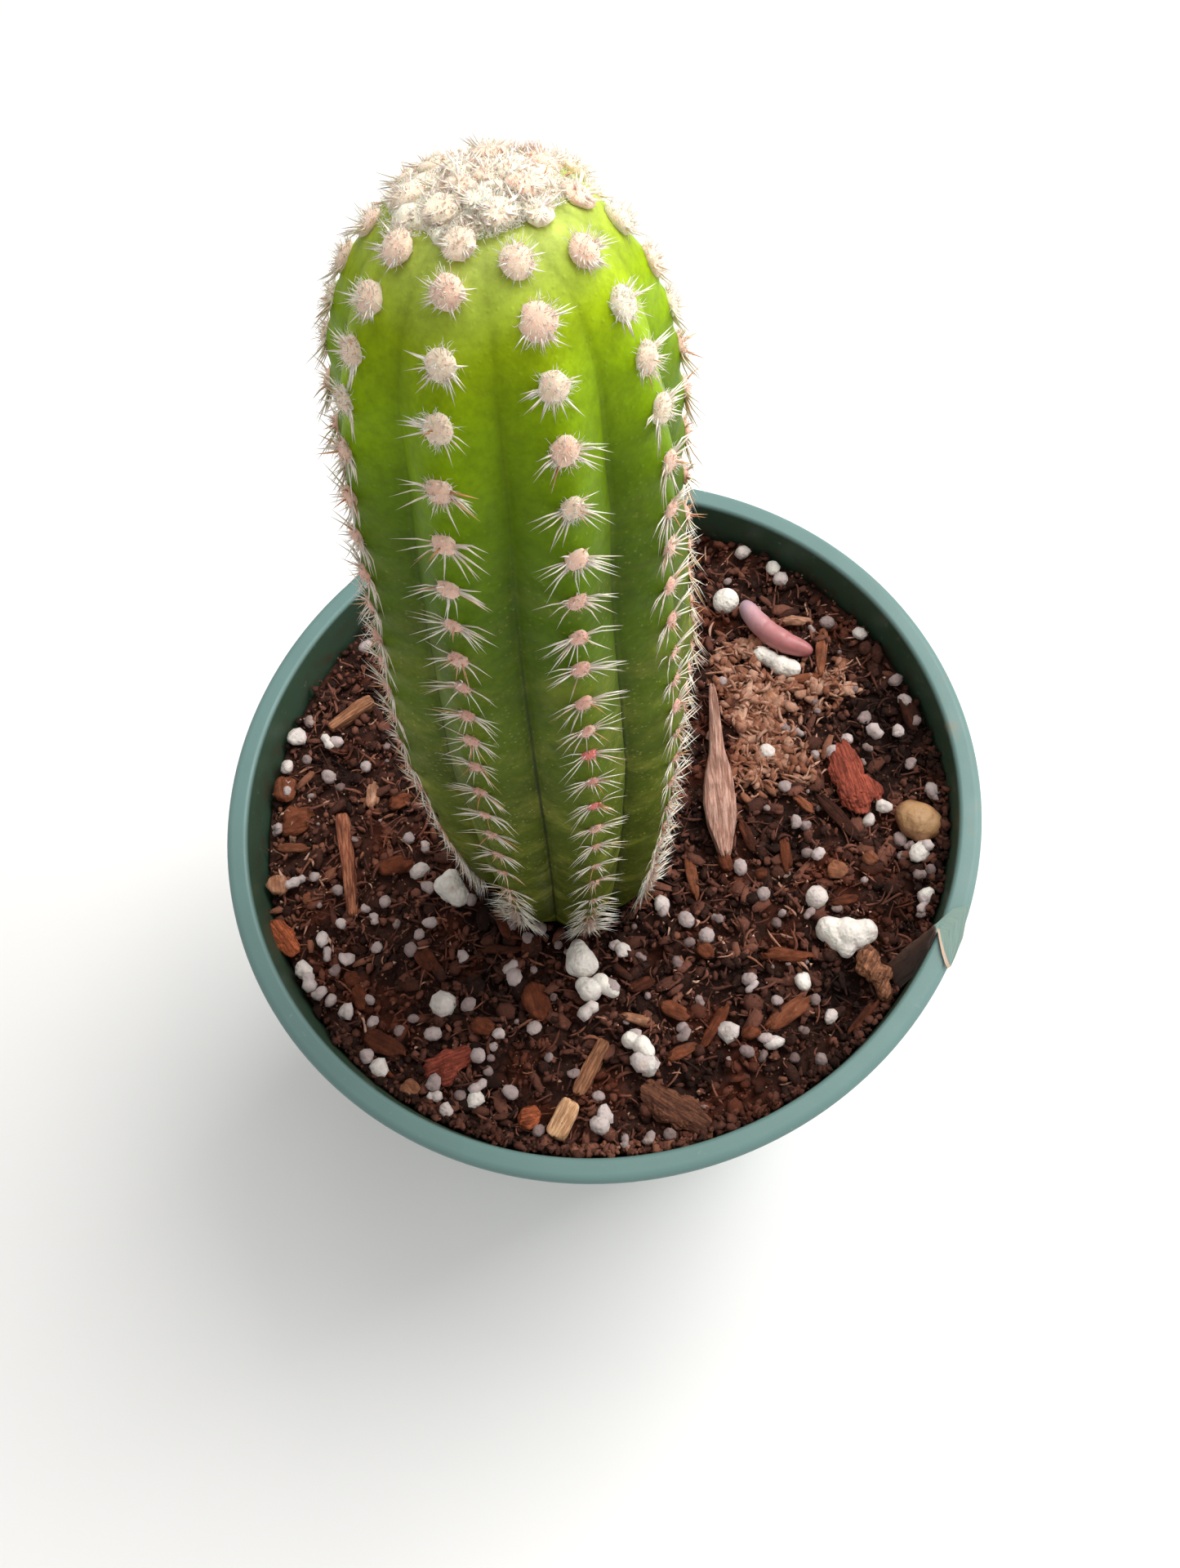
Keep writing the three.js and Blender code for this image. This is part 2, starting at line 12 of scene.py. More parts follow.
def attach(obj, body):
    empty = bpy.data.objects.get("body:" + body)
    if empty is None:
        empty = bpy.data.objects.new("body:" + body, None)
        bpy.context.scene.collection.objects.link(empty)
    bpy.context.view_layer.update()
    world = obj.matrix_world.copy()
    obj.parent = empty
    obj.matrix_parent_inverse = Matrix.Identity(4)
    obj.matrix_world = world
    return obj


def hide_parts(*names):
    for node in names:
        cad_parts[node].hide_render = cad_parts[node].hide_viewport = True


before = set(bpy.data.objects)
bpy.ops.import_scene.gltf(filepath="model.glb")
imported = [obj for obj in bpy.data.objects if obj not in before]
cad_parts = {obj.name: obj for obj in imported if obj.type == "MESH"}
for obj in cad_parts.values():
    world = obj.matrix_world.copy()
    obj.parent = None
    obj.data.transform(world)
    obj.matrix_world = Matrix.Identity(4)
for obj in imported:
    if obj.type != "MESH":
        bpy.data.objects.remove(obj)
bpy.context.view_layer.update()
MM = 0.001
TURN = 2 * math.pi

bl_info = {
    "name": "Potted peanut cactus",
    "version": (1, 0, 0),
    "blender": (4, 5, 0),
    "location": "View3D > Sidebar > Potted cactus",
    "description": "Builds a ribbed cactus in a plastic pot, with its potting mix and loose pieces",
    "category": "Add Mesh",
}


def paint(red, green, blue):
    """A colour from a maker's chart, 0 to 255 a channel, as the scene-linear values that shaders take."""
    def linear(value):
        share = value / 255
        return share / 12.92 if share <= 0.04045 else ((share + 0.055) / 1.055) ** 2.4
    return tuple(linear(value) for value in (red, green, blue))


def length(name, words, default):
    """A length property in metres."""
    return FloatProperty(name=name, description=words, default=default, min=0, unit="LENGTH", precision=4)


def colour(name, words, default):
    """A colour property."""
    return FloatVectorProperty(name=name, description=words, default=default, min=0, max=1, subtype="COLOR")


def count(name, words, default):
    """A whole-number property."""
    return IntProperty(name=name, description=words, default=default, min=1)


class PotSizes(bpy.types.PropertyGroup):
    """Sizes and colours of the pot."""

    height: length("Height", "From the ground to the top of the lip", 90 * MM)
    lip_radius: length("Lip radius", "Outer radius of the lip", 51 * MM)
    lip_width: length("Lip width", "Width of the lip seen from above", 3.0 * MM)
    lip_depth: length("Lip depth", "Height of the lip's outer face", 6 * MM)
    lip_taper: length("Lip taper", "How far the lip's outer face draws in towards its foot", 0.8 * MM)
    collar_depth: length("Collar depth", "From the top down to the step under the collar", 19 * MM)
    collar_step: length("Collar step", "How far the collar stands out", 2.0 * MM)
    foot_radius: length("Foot radius", "Outer radius on the ground", 35.2 * MM)
    foot_ring: length("Foot ring", "Width of the ring that stands on the ground", 3.6 * MM)
    wall: length("Wall", "Thickness of the side", 1.1 * MM)
    floor_rise: length("Floor rise", "Height of the floor's underside", 2.2 * MM)
    floor_thickness: length("Floor thickness", "Thickness of the floor", 1.4 * MM)
    drain_holes: count("Drain holes", "Holes in the floor", 5)
    drain_radius: length("Drain radius", "Radius of each hole", 3.5 * MM)
    drain_circle: length("Drain circle", "Radius of the circle that the holes stand on", 24 * MM)
    plastic: colour("Plastic", "Colour of the lip and the outside", paint(98, 128, 125))
    # Painted shade: the inner wall is the same plastic as the lip, painted this deeper green for the shade
    # down the well.
    painted_wall_shade: colour("Shaded plastic", "Deeper green of the inner wall", paint(50, 72, 56))


class MixSizes(bpy.types.PropertyGroup):
    """Sizes, numbers and colours of the potting mix."""

    level: length("Level", "Height of the mix's surface", 84.2 * MM)
    radius: length("Radius", "Radius of the surface", 47.0 * MM)
    crumbs: count("Crumbs", "Small crumbs of peat", 5600)
    grit: count("Grit", "Specks of peat, bark and perlite dust", 5200)
    clods: count("Clods", "Larger crumbs of peat", 420)
    bark_fines: count("Bark fines", "Flat bits of bark", 520)
    fibres: count("Fibres", "Torn fibres of peat and wood", 2300)
    grains: count("Grains", "Small perlite grains strewn at random", 90)
    peat: colour("Peat", "Colour of the darkest crumbs", paint(45, 26, 20))
    bark: colour("Bark", "Colour of the brightest bark", paint(150, 98, 74))
    perlite: colour("Perlite", "Colour of the perlite", paint(232, 226, 218))


class StemSizes(bpy.types.PropertyGroup):
    """Sizes and colours of the stem."""

    height: length("Height", "Height above its foot, a little under the mix", 113 * MM)
    dome: length("Dome", "Height of the rounded top", 26 * MM)
    ribs: count("Ribs", "Ribs round the stem", 9)
    rib_depth: length("Rib depth", "From a rib's crest down to the furrow", 1.9 * MM)
    young_green: colour("Young green", "Skin at the top", paint(170, 186, 84))
    ripe_green: colour("Ripe green", "Skin at half height", paint(78, 106, 4))
    old_green: colour("Old green", "Skin near the foot", paint(70, 80, 14))
    furrow_green: colour("Furrow green", "Line in the bottom of a furrow", paint(34, 46, 12))
    cork: colour("Cork", "Corky skin where the stem meets the mix", paint(84, 70, 44))


class AreoleSizes(bpy.types.PropertyGroup):
    """Sizes and colours of the areoles and their spines."""

    pitch: length("Pitch", "Distance between areoles along a rib", 4.3 * MM)
    crown_pitch: length("Crown pitch", "The same in the crown", 3.3 * MM)
    spine_length: length("Spine length", "Length of a side spine", 3.6 * MM)
    spine_width: length("Spine width", "Thickness of a spine at its root", 0.23 * MM)
    spines: count("Spines", "Spines on an areole", 18)
    hairs: count("Hairs", "Fine hairs on an areole's felt", 56)
    crown_hairs: count("Crown hairs", "Fine hairs on the woolly crown", 5000)
    old_wool: colour("Old wool", "Felt low on the stem", paint(216, 166, 150))
    new_wool: colour("New wool", "Felt in the crown", paint(255, 246, 224))
    spine: colour("Spine", "Colour of the spines", paint(252, 240, 230))


class PieceColours(bpy.types.PropertyGroup):
    """Colours of the loose pieces on the mix."""

    pale_wood: colour("Pale wood", "The sliver beside the stem", paint(206, 166, 150))
    tan_wood: colour("Tan wood", "The sliver near the rim", paint(236, 190, 148))
    brown_wood: colour("Brown wood", "The sliver in front and the one on the left", paint(172, 122, 90))
    stick_wood: colour("Stick", "The stick of bark", paint(176, 114, 84))
    red_bark: colour("Red bark", "Flakes of red bark", paint(166, 80, 62))
    rust_bark: colour("Rust bark", "Flakes of rust brown bark", paint(186, 100, 62))
    brown_bark: colour("Brown bark", "The slab of bark", paint(124, 78, 56))
    crumbly_bark: colour("Crumbly bark", "The chunk of bark on the right", paint(168, 114, 84))
    pebble: colour("Pebble", "The tan pebble", paint(168, 130, 90))
    bud: colour("Bud", "The dropped bud", paint(184, 124, 126))
    husk: colour("Husk", "The torn dry leaf inside the pot", paint(86, 60, 48))


class StageSizes(bpy.types.PropertyGroup):
    """Camera and light."""

    distance: length("Distance", "From the camera to the middle of the lip", 171.16 * MM)
    elevation: FloatProperty(name="Elevation", description="Camera's angle above the horizon",
                             default=math.radians(65.8), subtype="ANGLE")
    roll: FloatProperty(name="Roll", description="Camera's turn about its own axis",
                        default=math.radians(-13.5), subtype="ANGLE")
    lens: FloatProperty(name="Lens", description="Focal length on 36 mm film", default=29.1, unit="CAMERA")
    floor: colour("Floor", "Colour of the floor", paint(244, 244, 244))


GROUPS = {
    "cactus_pot": PotSizes,
    "cactus_mix": MixSizes,
    "cactus_stem": StemSizes,
    "cactus_areoles": AreoleSizes,
    "cactus_pieces": PieceColours,
    "cactus_stage": StageSizes,
}


def settings(name):
    """The values of one property group."""
    return getattr(bpy.context.scene, name)


def smoothstep(low, high, value):
    """0 below low, 1 above high and a smooth step between, for numbers and arrays."""
    share = np.clip((np.asarray(value, float) - low) / (high - low), 0, 1)
    return share * share * (3 - 2 * share)


def unit(vectors):
    """The same vectors with length 1."""
    return vectors / np.maximum(np.linalg.norm(vectors, axis=-1, keepdims=True), 1e-12)


def columns(*parts):
    """Numbers side by side: points out of their x, y and z, or sizes out of lengths, widths and heights."""
    return np.stack(parts, -1)


# Mesh making


def piece_from(name, points, faces, edges=(), **tones):
    """A new object of these points, faces and edges, with named numbers for each point."""
    mesh = bpy.data.meshes.new(name)
    mesh.from_pydata([tuple(p) for p in points], edges, faces)
    piece = bpy.data.objects.new(name, mesh)
    bpy.context.scene.collection.objects.link(piece)
    for tone, values in tones.items():
        tone_points(piece, tone, values)
    return piece


def alone(piece):
    """Makes this the only selected object, and the active one."""
    bpy.ops.object.select_all(action="DESELECT")
    piece.select_set(True)
    bpy.context.view_layer.objects.active = piece


def edit_all(*steps):
    """Runs mesh operators in edit mode on the whole of the active object."""
    bpy.ops.object.mode_set(mode="EDIT")
    bpy.ops.mesh.select_all(action="SELECT")
    for step in steps:
        step()
    bpy.ops.object.mode_set(mode="OBJECT")


def outward():
    """Closes doubled points and turns every face outward."""
    bpy.ops.mesh.remove_doubles(threshold=0.002 * MM)
    bpy.ops.mesh.normals_make_consistent(inside=False)


def new_primitive(add, name, **sizes):
    """Adds a primitive with nothing else selected and names it."""
    bpy.ops.object.select_all(action="DESELECT")
    add(**sizes)
    piece = bpy.context.object
    piece.name = piece.data.name = name
    return piece


def coordinates(piece, kind="co"):
    """The places of an object's points, or their normals, as an array."""
    flat = np.empty(len(piece.data.vertices) * 3)
    piece.data.vertices.foreach_get(kind, flat)
    return flat.reshape(-1, 3)


def move_points(piece, points):
    """Puts an object's points at new places."""
    piece.data.vertices.foreach_set("co", np.asarray(points, float).ravel())
    piece.data.update()


def tone_points(piece, name, values):
    """Gives each point of an object a named number."""
    layer = piece.data.attributes.new(name, "FLOAT", "POINT")
    layer.data.foreach_set("value", np.asarray(values, np.float32).ravel())


def wrapped_grid(name, round_it, along_it, place, closed_round=True):
    """A grid laid over a shape: place(u, v) gives its points and tones, with u round it and v along it."""
    piece = new_primitive(bpy.ops.mesh.primitive_grid_add, name, size=1,
                          x_subdivisions=round_it, y_subdivisions=along_it)
    flat = coordinates(piece)
    points, tones = place(flat[:, 0] + 0.5, flat[:, 1] + 0.5)
    for tone, values in tones.items():
        if tone == "grain":
            grain_along(piece, values)
        else:
            tone_points(piece, tone, values)
    move_points(piece, points)
    if closed_round:
        edit_all(outward)
    return piece


def shape_of(piece):
    """Takes an object apart into its points and faces, and removes it."""
    points = coordinates(piece)
    faces = [tuple(polygon.vertices) for polygon in piece.data.polygons]
    bpy.data.objects.remove(piece)
    return points, faces


def turning(yaws, tilts, bearings):
    """Rotation matrices: a yaw about Z, then a tilt towards a bearing."""
    cos, sin = np.cos(yaws), np.sin(yaws)
    zero, one = np.zeros_like(cos), np.ones_like(cos)
    yaw = columns(cos, -sin, zero, sin, cos, zero, zero, zero, one).reshape(-1, 3, 3)
    x, y = np.cos(bearings), np.sin(bearings)
    c, s = np.cos(tilts), np.sin(tilts)
    t = 1 - c
    tilt = columns(t * x * x + c, t * x * y, s * y, t * x * y, t * y * y + c, -s * x, -s * y, s * x, c)
    return tilt.reshape(-1, 3, 3) @ yaw


def strewn(name, shapes, kinds, places, sizes, turns, tones):
    """One piece made of many copies of a few small shapes, each with its own size, turn, place and tone."""
    grain_step = 0.01
    points, faces, values, grains, start = [], [], [], [], 0
    for kind, (shape, shape_faces) in enumerate(shapes):
        for i in np.nonzero(kinds == kind)[0]:
            points.append((shape * sizes[i]) @ turns[i].T + places[i])
            faces.extend(tuple(start + corner for corner in face) for face in shape_faces)
            values.append(np.full(len(shape), tones[i]))
            grains.append(shape * sizes[i] + grain_step * i)
            start += len(shape)
    piece = piece_from(name, np.concatenate(points), faces, tone=np.concatenate(values))
    grain_along(piece, np.concatenate(grains))
    return piece


def grain_along(piece, places):
    """Gives each point of a piece its place in the grain of the wood."""
    vector = piece.data.attributes.new("grain", "FLOAT_VECTOR", "POINT")
    vector.data.foreach_set("vector", np.asarray(places, np.float32).ravel())


def needles(name, roots, tips, widths, bows, tones):
    """One piece made of tapering three-sided needles, each bowed at its middle."""
    along = tips - roots
    ahead = unit(along)
    helper = np.where(np.abs(ahead[:, 2:]) < 0.9, [[0.0, 0.0, 1.0]], [[1.0, 0.0, 0.0]])
    side = unit(np.cross(ahead, helper))
    other = np.cross(ahead, side)
    half = widths[:, None] / 2
    corners = [side * math.cos(a) + other * math.sin(a) for a in (0, TURN / 3, 2 * TURN / 3)]
    middle = roots + 0.5 * along + bows
    rings = [roots + half * c for c in corners] + [middle + 0.66 * half * c for c in corners] + [tips]
    points = np.stack(rings, 1).reshape(-1, 3)
    pattern = [(0, 2, 1), (0, 1, 4, 3), (1, 2, 5, 4), (2, 0, 3, 5), (3, 4, 6), (4, 5, 6), (5, 3, 6)]
    faces = [tuple(7 * i + c for c in face) for i in range(len(roots)) for face in pattern]
    return piece_from(name, points, faces, tone=np.repeat(tones, 7))


def coat(piece, material):
    """Gives a piece its only material and shades it smooth."""
    piece.data.materials.clear()
    piece.data.materials.append(material)
    piece.data.polygons.foreach_set("use_smooth", [True] * len(piece.data.polygons))


def finish_piece(piece, material, slot, *nodes):
    """Gives a piece its material and body, and hides the imported nodes that it stands for. The slot is not
    used.
    """
    coat(piece, material)
    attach(piece, "root")
    if nodes:
        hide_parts(*nodes)


# Materials


def shaded(shade, share):
    """A colour made darker, or brighter up to white."""
    return tuple(min(1.0, share * channel) for channel in shade)


def opaque(shade):
    """A colour with full alpha. A plain number is a grey."""
    return (*((shade,) * 3 if isinstance(shade, (int, float)) else shade), 1)


class Finish:
    """Builds a material node by node."""

    def __init__(self, name):
        self.material = bpy.data.materials.new(name)
        self.material.use_nodes = True
        self.nodes = self.material.node_tree.nodes
        self.shader = self.nodes["Principled BSDF"]

    def feed(self, sockets, inputs):
        """Gives each input a plain value, a colour or another node's output."""
        for key, value in inputs.items():
            if isinstance(value, bpy.types.NodeSocket):
                self.material.node_tree.links.new(value, sockets[key])
            elif value is not None:
                sockets[key].default_value = opaque(value) if sockets[key].type == "RGBA" else value

    def node(self, kind, inputs=None, **values):
        """Adds a node and feeds its inputs."""
        made = self.nodes.new("ShaderNode" + kind)
        for key, value in values.items():
            setattr(made, key, value)
        self.feed(made.inputs, inputs or {})
        return made

    def where(self):
        return self.node("TexCoord").outputs["Object"]

    def tone(self, name):
        return self.node("Attribute", attribute_name=name).outputs["Fac"]

    def noise(self, scale, detail=4, roughness=0.55, at=None, distortion=0):
        inputs = {"Vector": at or self.where(), "Scale": scale, "Detail": detail, "Roughness": roughness,
                  "Distortion": distortion}
        return self.node("TexNoise", inputs).outputs["Fac"]

    def ramp(self, value, *stops):
        """A colour ramp through (place, colour) stops. A plain number is a grey."""
        made = self.node("ValToRGB", {"Fac": value})
        ramp = made.color_ramp
        while len(ramp.elements) < len(stops):
            ramp.elements.new(0.5)
        for element, (place, shade) in zip(ramp.elements, stops):
            element.position = place
            element.color = opaque(shade)
        return made.outputs["Color"]

    def mix(self, share, first, second, blend="MIX"):
        inputs = {"Fac": share, "Color1": first, "Color2": second}
        return self.node("MixRGB", inputs, blend_type=blend).outputs["Color"]

    def toned(self, base, tones):
        """A colour made darker or brighter from place to place."""
        return self.mix(1.0, base, tones, "MULTIPLY")

    def math(self, operation, first, second=0.0):
        return self.node("Math", {0: first, 1: second}, operation=operation).outputs[0]

    def times(self, first, second):
        return self.math("MULTIPLY", first, second)

    def swing(self, cloud, share):
        """A noise made to swing about 0 by up to half the share."""
        return self.times(self.math("SUBTRACT", cloud, 0.5), share)

    def fade(self, value, start, end):
        """Runs from 0 where the value is at the start to 1 at the end, up or down."""
        return self.node("MapRange", {"Value": value, "From Min": start, "From Max": end}).outputs[0]

    def along_grain(self, *scale):
        """Places in the grain of the wood, stretched along it."""
        grain = self.node("Attribute", attribute_name="grain").outputs["Vector"]
        return self.node("Mapping", {"Vector": grain, "Scale": scale}).outputs["Vector"]

    def bump(self, height, distance, after=None):
        inputs = {"Height": height, "Distance": distance, "Strength": 1.0}
        if after is not None:
            inputs["Normal"] = after
        return self.node("Bump", inputs).outputs["Normal"]

    def done(self, colour_value, roughness, normal=None, **sockets):
        """Sets the surface. Sockets are named with underscores for spaces."""
        inputs = {"Base Color": colour_value, "Roughness": roughness, "Normal": normal}
        self.feed(self.shader.inputs, inputs)
        self.feed(self.shader.inputs, {key.replace("_", " "): value for key, value in sockets.items()})
        return self.material


def moulded_plastic():
    """Grey teal polypropylene with a little dust and soil on it; the inner wall is painted a deeper green as
    shade.
    """
    pot = settings("cactus_pot")
    f = Finish("moulded_plastic")
    x, y, z = f.node("SeparateXYZ", {"Vector": f.where()}).outputs
    from_axis = f.math("SQRT", f.math("ADD", f.times(x, x), f.times(y, y)))
    mouth = pot.lip_radius - pot.lip_width
    inside = f.fade(from_axis, mouth + 0.7 * MM, mouth + 0.25 * MM)
    below_edge = f.fade(z, pot.height - 0.2 * MM, pot.height - 0.7 * MM)
    shaded_well = f.times(f.tone("inner"), f.times(inside, below_edge))
    clouds = f.noise(90, detail=5)
    plastic = f.mix(clouds, shaded(pot.plastic, 0.9), shaded(pot.plastic, 1.1))
    # Painted shade: the inner wall below the lip's edge takes the deeper green.
    base = f.mix(shaded_well, plastic, pot.painted_wall_shade)
    scuffs = f.ramp(f.noise(700, detail=8, roughness=0.7), (0.62, 0.0), (0.78, 0.5))
    base = f.mix(scuffs, base, paint(150, 168, 162))
    near_mix = f.fade(z, 88 * MM, 84 * MM)
    film = f.ramp(f.noise(260, detail=6, roughness=0.65), (0.46, 0.0), (0.66, 0.9))
    film = f.times(film, f.times(near_mix, shaded_well))
    base = f.mix(film, base, paint(62, 44, 34))
    lip_at_right = f.times(f.fade(x, 43 * MM, 50 * MM), f.fade(z, 86 * MM, 88 * MM))
    smears = f.ramp(f.noise(420, detail=7, roughness=0.7, distortion=0.6), (0.57, 0.0), (0.66, 0.5))
    smears = f.times(smears, lip_at_right)
    base = f.mix(smears, base, paint(134, 118, 98))
    grain = f.noise(2600, detail=3)
    waves = f.noise(45, detail=2)
    normal = f.bump(grain, 0.012 * MM, after=f.bump(waves, 0.25 * MM))
    rough = f.ramp(f.noise(160, detail=4), (0.3, 0.4), (0.7, 0.54))
    return f.done(base, rough, normal, Specular_IOR_Level=0.4)


def peat_crumb():
    """Peat and bark crumbs: each crumb's own tone runs from black brown through red brown to tan."""
    mix = settings("cactus_mix")
    f = Finish("peat_crumb")
    torn = f.noise(1250, detail=8, roughness=0.72, distortion=1.4)
    tone = f.math("ADD", f.tone("tone"), f.swing(torn, 0.42))
    shade = f.ramp(tone, (0.0, shaded(mix.peat, 0.4)), (0.2, mix.peat), (0.42, paint(92, 56, 45)),
                   (0.62, paint(124, 79, 65)), (0.82, mix.bark), (1.0, paint(214, 172, 150)))
    red = f.ramp(f.noise(150, detail=4), (0.52, 0.0), (0.68, 0.4))
    base = f.mix(red, shade, paint(122, 58, 34))
    specks = f.ramp(f.noise(3000, detail=3, roughness=0.6), (0.64, 0.0), (0.76, 0.4))
    base = f.mix(specks, base, paint(160, 122, 100))
    fibres = f.noise(1700, detail=8, roughness=0.75, distortion=1.2)
    normal = f.bump(fibres, 0.3 * MM)
    return f.done(base, f.ramp(f.noise(700), (0.3, 0.62), (0.7, 0.95)), normal, Specular_IOR_Level=0.16)


def perlite_chalk():
    """Chalky white perlite with pits, grey-lavender at low tones: on the smaller grains, and as painted shade
    at a lump's foot.
    """
    f = Finish("perlite_chalk")
    white = settings("cactus_mix").perlite
    shade = f.ramp(f.tone("tone"), (0.0, paint(104, 82, 78)), (0.25, paint(150, 132, 130)),
                   (0.45, paint(196, 180, 178)), (0.65, white), (1.0, paint(246, 240, 230)))
    pits = f.node("TexVoronoi", {"Vector": f.where(), "Scale": 1500.0, "Randomness": 1.0})
    hollow = f.ramp(pits.outputs["Distance"], (0.0, 0.0), (0.55, 1.0))
    stain = f.ramp(f.noise(620, detail=6, roughness=0.65), (0.4, 1.0), (0.78, 0.66))
    base = f.toned(shade, stain)
    base = f.mix(f.ramp(f.noise(420, detail=5), (0.6, 0.0), (0.78, 0.55)), base, paint(196, 172, 150))
    normal = f.bump(hollow, 0.1 * MM, after=f.bump(f.noise(1100, detail=7, roughness=0.7), 0.22 * MM))
    return f.done(base, f.ramp(hollow, (0.0, 0.95), (1.0, 0.78)), normal, Subsurface_Weight=0.12,
                  Subsurface_Scale=0.6 * MM, Specular_IOR_Level=0.3)


def stem_skin():
    """Waxy skin: yellow green at the top and deeper below, with pale specks and a line in each furrow."""
    stem = settings("cactus_stem")
    f = Finish("stem_skin")
    rise, furrow = f.tone("rise"), f.tone("furrow")
    height = f.math("ADD", rise, f.swing(f.noise(60, detail=3), 0.07))
    skin = f.ramp(height, (0.0, stem.cork), (0.06, stem.old_green), (0.3, stem.old_green),
                  (0.53, paint(82, 98, 14)), (0.68, paint(82, 104, 12)), (0.78, stem.ripe_green),
                  (0.86, paint(104, 136, 4)), (0.92, paint(138, 172, 4)), (0.955, paint(156, 182, 12)),
                  (0.99, stem.young_green))
    # Painted shade: the skin is darker down into each furrow, where the ribs shade it.
    depth = f.ramp(furrow, (0.0, 1.08), (0.5, 0.98), (0.85, 0.86), (1.0, 0.74))
    skin = f.toned(skin, depth)
    patches = f.ramp(f.noise(150, detail=7, roughness=0.66, distortion=0.5), (0.48, 0.0), (0.66, 1.0))
    low_down = f.ramp(rise, (0.2, 0.55), (0.5, 0.75), (0.68, 0.5), (0.82, 0.12), (0.9, 0.0))
    skin = f.mix(f.times(patches, low_down), skin, paint(128, 132, 50))
    dull = f.ramp(f.noise(90, detail=5, roughness=0.6), (0.4, 0.8), (0.6, 1.05))
    skin = f.toned(skin, dull)
    cells = f.node("TexVoronoi", {"Vector": f.where(), "Scale": 1700.0, "Randomness": 1.0})
    dots = f.ramp(cells.outputs["Distance"], (0.0, 1.0), (0.27, 0.0))
    dotted = f.ramp(f.noise(260, detail=6, roughness=0.6), (0.42, 0.15), (0.58, 1.0))
    dots_low = f.ramp(rise, (0.2, 0.6), (0.5, 0.7), (0.76, 0.4), (0.9, 0.08))
    skin = f.mix(f.times(dots, f.times(dotted, dots_low)), skin, paint(180, 182, 104))
    dark_grain = f.ramp(f.noise(1300, detail=5, roughness=0.7), (0.3, 0.8), (0.62, 1.1))
    skin = f.toned(skin, dark_grain)
    wander = f.swing(f.noise(420, detail=6, roughness=0.7), 0.09)
    line = f.ramp(f.math("ADD", furrow, wander), (0.955, 0.0), (0.99, 0.9))
    line_low = f.ramp(rise, (0.0, 0.95), (0.5, 0.9), (0.66, 0.5), (0.8, 0.0))
    skin = f.mix(f.times(line, line_low), skin, stem.furrow_green)
    bands = f.node("TexWave", {"Vector": f.where(), "Scale": 62.0, "Distortion": 5.0, "Detail": 3.0,
                               "Detail Scale": 2.0}, wave_type="BANDS", bands_direction="Z")
    wrinkle = f.bump(bands.outputs["Fac"], 0.06 * MM)
    normal = f.bump(dots, 0.03 * MM, after=f.bump(f.noise(420, detail=5), 0.12 * MM, after=wrinkle))
    rough = f.ramp(f.noise(500, detail=4), (0.3, 0.42), (0.7, 0.6))
    return f.done(skin, rough, normal, Subsurface_Weight=0.1, Subsurface_Scale=1.6 * MM,
                  Subsurface_Radius=(0.6, 1.0, 0.1), Specular_IOR_Level=0.08)


def felt_wool():
    """Areole felt: pinkish low on the stem, cream in the crown."""
    a = settings("cactus_areoles")
    f = Finish("felt_wool")
    shade = f.ramp(f.tone("tone"), (0.0, paint(234, 118, 116)), (0.1, paint(206, 142, 128)),
                   (0.2, a.old_wool), (0.55, paint(240, 190, 172)), (0.8, paint(250, 210, 188)),
                   (0.92, paint(255, 234, 210)), (1.0, a.new_wool))
    fuzz = f.noise(3800, detail=6, roughness=0.75)
    base = f.toned(shade, f.ramp(fuzz, (0.25, 0.86), (0.7, 1.06)))
    normal = f.bump(fuzz, 0.1 * MM)
    return f.done(base, f.ramp(fuzz, (0.3, 0.85), (0.7, 1.0)), normal, Sheen_Weight=0.3,
                  Subsurface_Weight=0.5, Subsurface_Scale=0.7 * MM, Specular_IOR_Level=0.2)


def ivory_spine():
    """Translucent white spines, a few of them golden brown."""
    a = settings("cactus_areoles")
    f = Finish("ivory_spine")
    shade = f.ramp(f.tone("tone"), (0.0, paint(176, 120, 62)), (0.2, paint(212, 168, 120)),
                   (0.45, paint(228, 208, 190)), (1.0, a.spine))
    streak = f.ramp(f.noise(900, detail=3), (0.3, 0.9), (0.7, 1.04))
    base = f.toned(shade, streak)
    return f.done(base, f.ramp(f.noise(500), (0.3, 0.3), (0.7, 0.42)), None, Subsurface_Weight=0.3,
                  Subsurface_Scale=0.4 * MM)


def split_wood(name, shade, deep):
    """Wood or bark with its grain along the piece, from the piece's own grain coordinates."""
    f = Finish(name)
    streaks = f.noise(1.0, detail=8, roughness=0.7, at=f.along_grain(260, 2400, 2400), distortion=0.35)
    base = f.ramp(streaks, (0.28, shaded(deep, 0.42)), (0.45, deep), (0.6, shade), (0.8, shaded(shade, 1.3)))
    blotch = f.ramp(f.noise(330, detail=5), (0.35, 0.7), (0.68, 1.12))
    base = f.toned(base, blotch)
    normal = f.bump(streaks, 0.22 * MM, after=f.bump(f.noise(1600, detail=5), 0.1 * MM))
    return f.done(base, f.ramp(streaks, (0.3, 0.9), (0.7, 0.68)), normal, Specular_IOR_Level=0.2)


def chip_bark():
    """Chips of bark: dark brown, rust or tan by each chip's own tone, with the grain along the chip."""
    f = Finish("chip_bark")
    streaks = f.noise(1.0, detail=8, roughness=0.7, at=f.along_grain(330, 1900, 1900), distortion=0.5)
    tone = f.math("ADD", f.tone("tone"), f.swing(streaks, 0.75))
    base = f.ramp(tone, (0.0, paint(30, 18, 14)), (0.25, paint(72, 38, 26)), (0.45, paint(112, 58, 36)),
                  (0.62, paint(134, 80, 56)), (0.8, paint(166, 116, 88)), (1.0, paint(214, 170, 146)))
    crust = f.ramp(f.noise(520, detail=6, roughness=0.7), (0.4, 0.62), (0.62, 1.1))
    base = f.toned(base, crust)
    normal = f.bump(streaks, 0.3 * MM, after=f.bump(f.noise(1300, detail=6, roughness=0.7), 0.2 * MM))
    return f.done(base, f.ramp(streaks, (0.3, 0.9), (0.7, 0.7)), normal, Specular_IOR_Level=0.15)


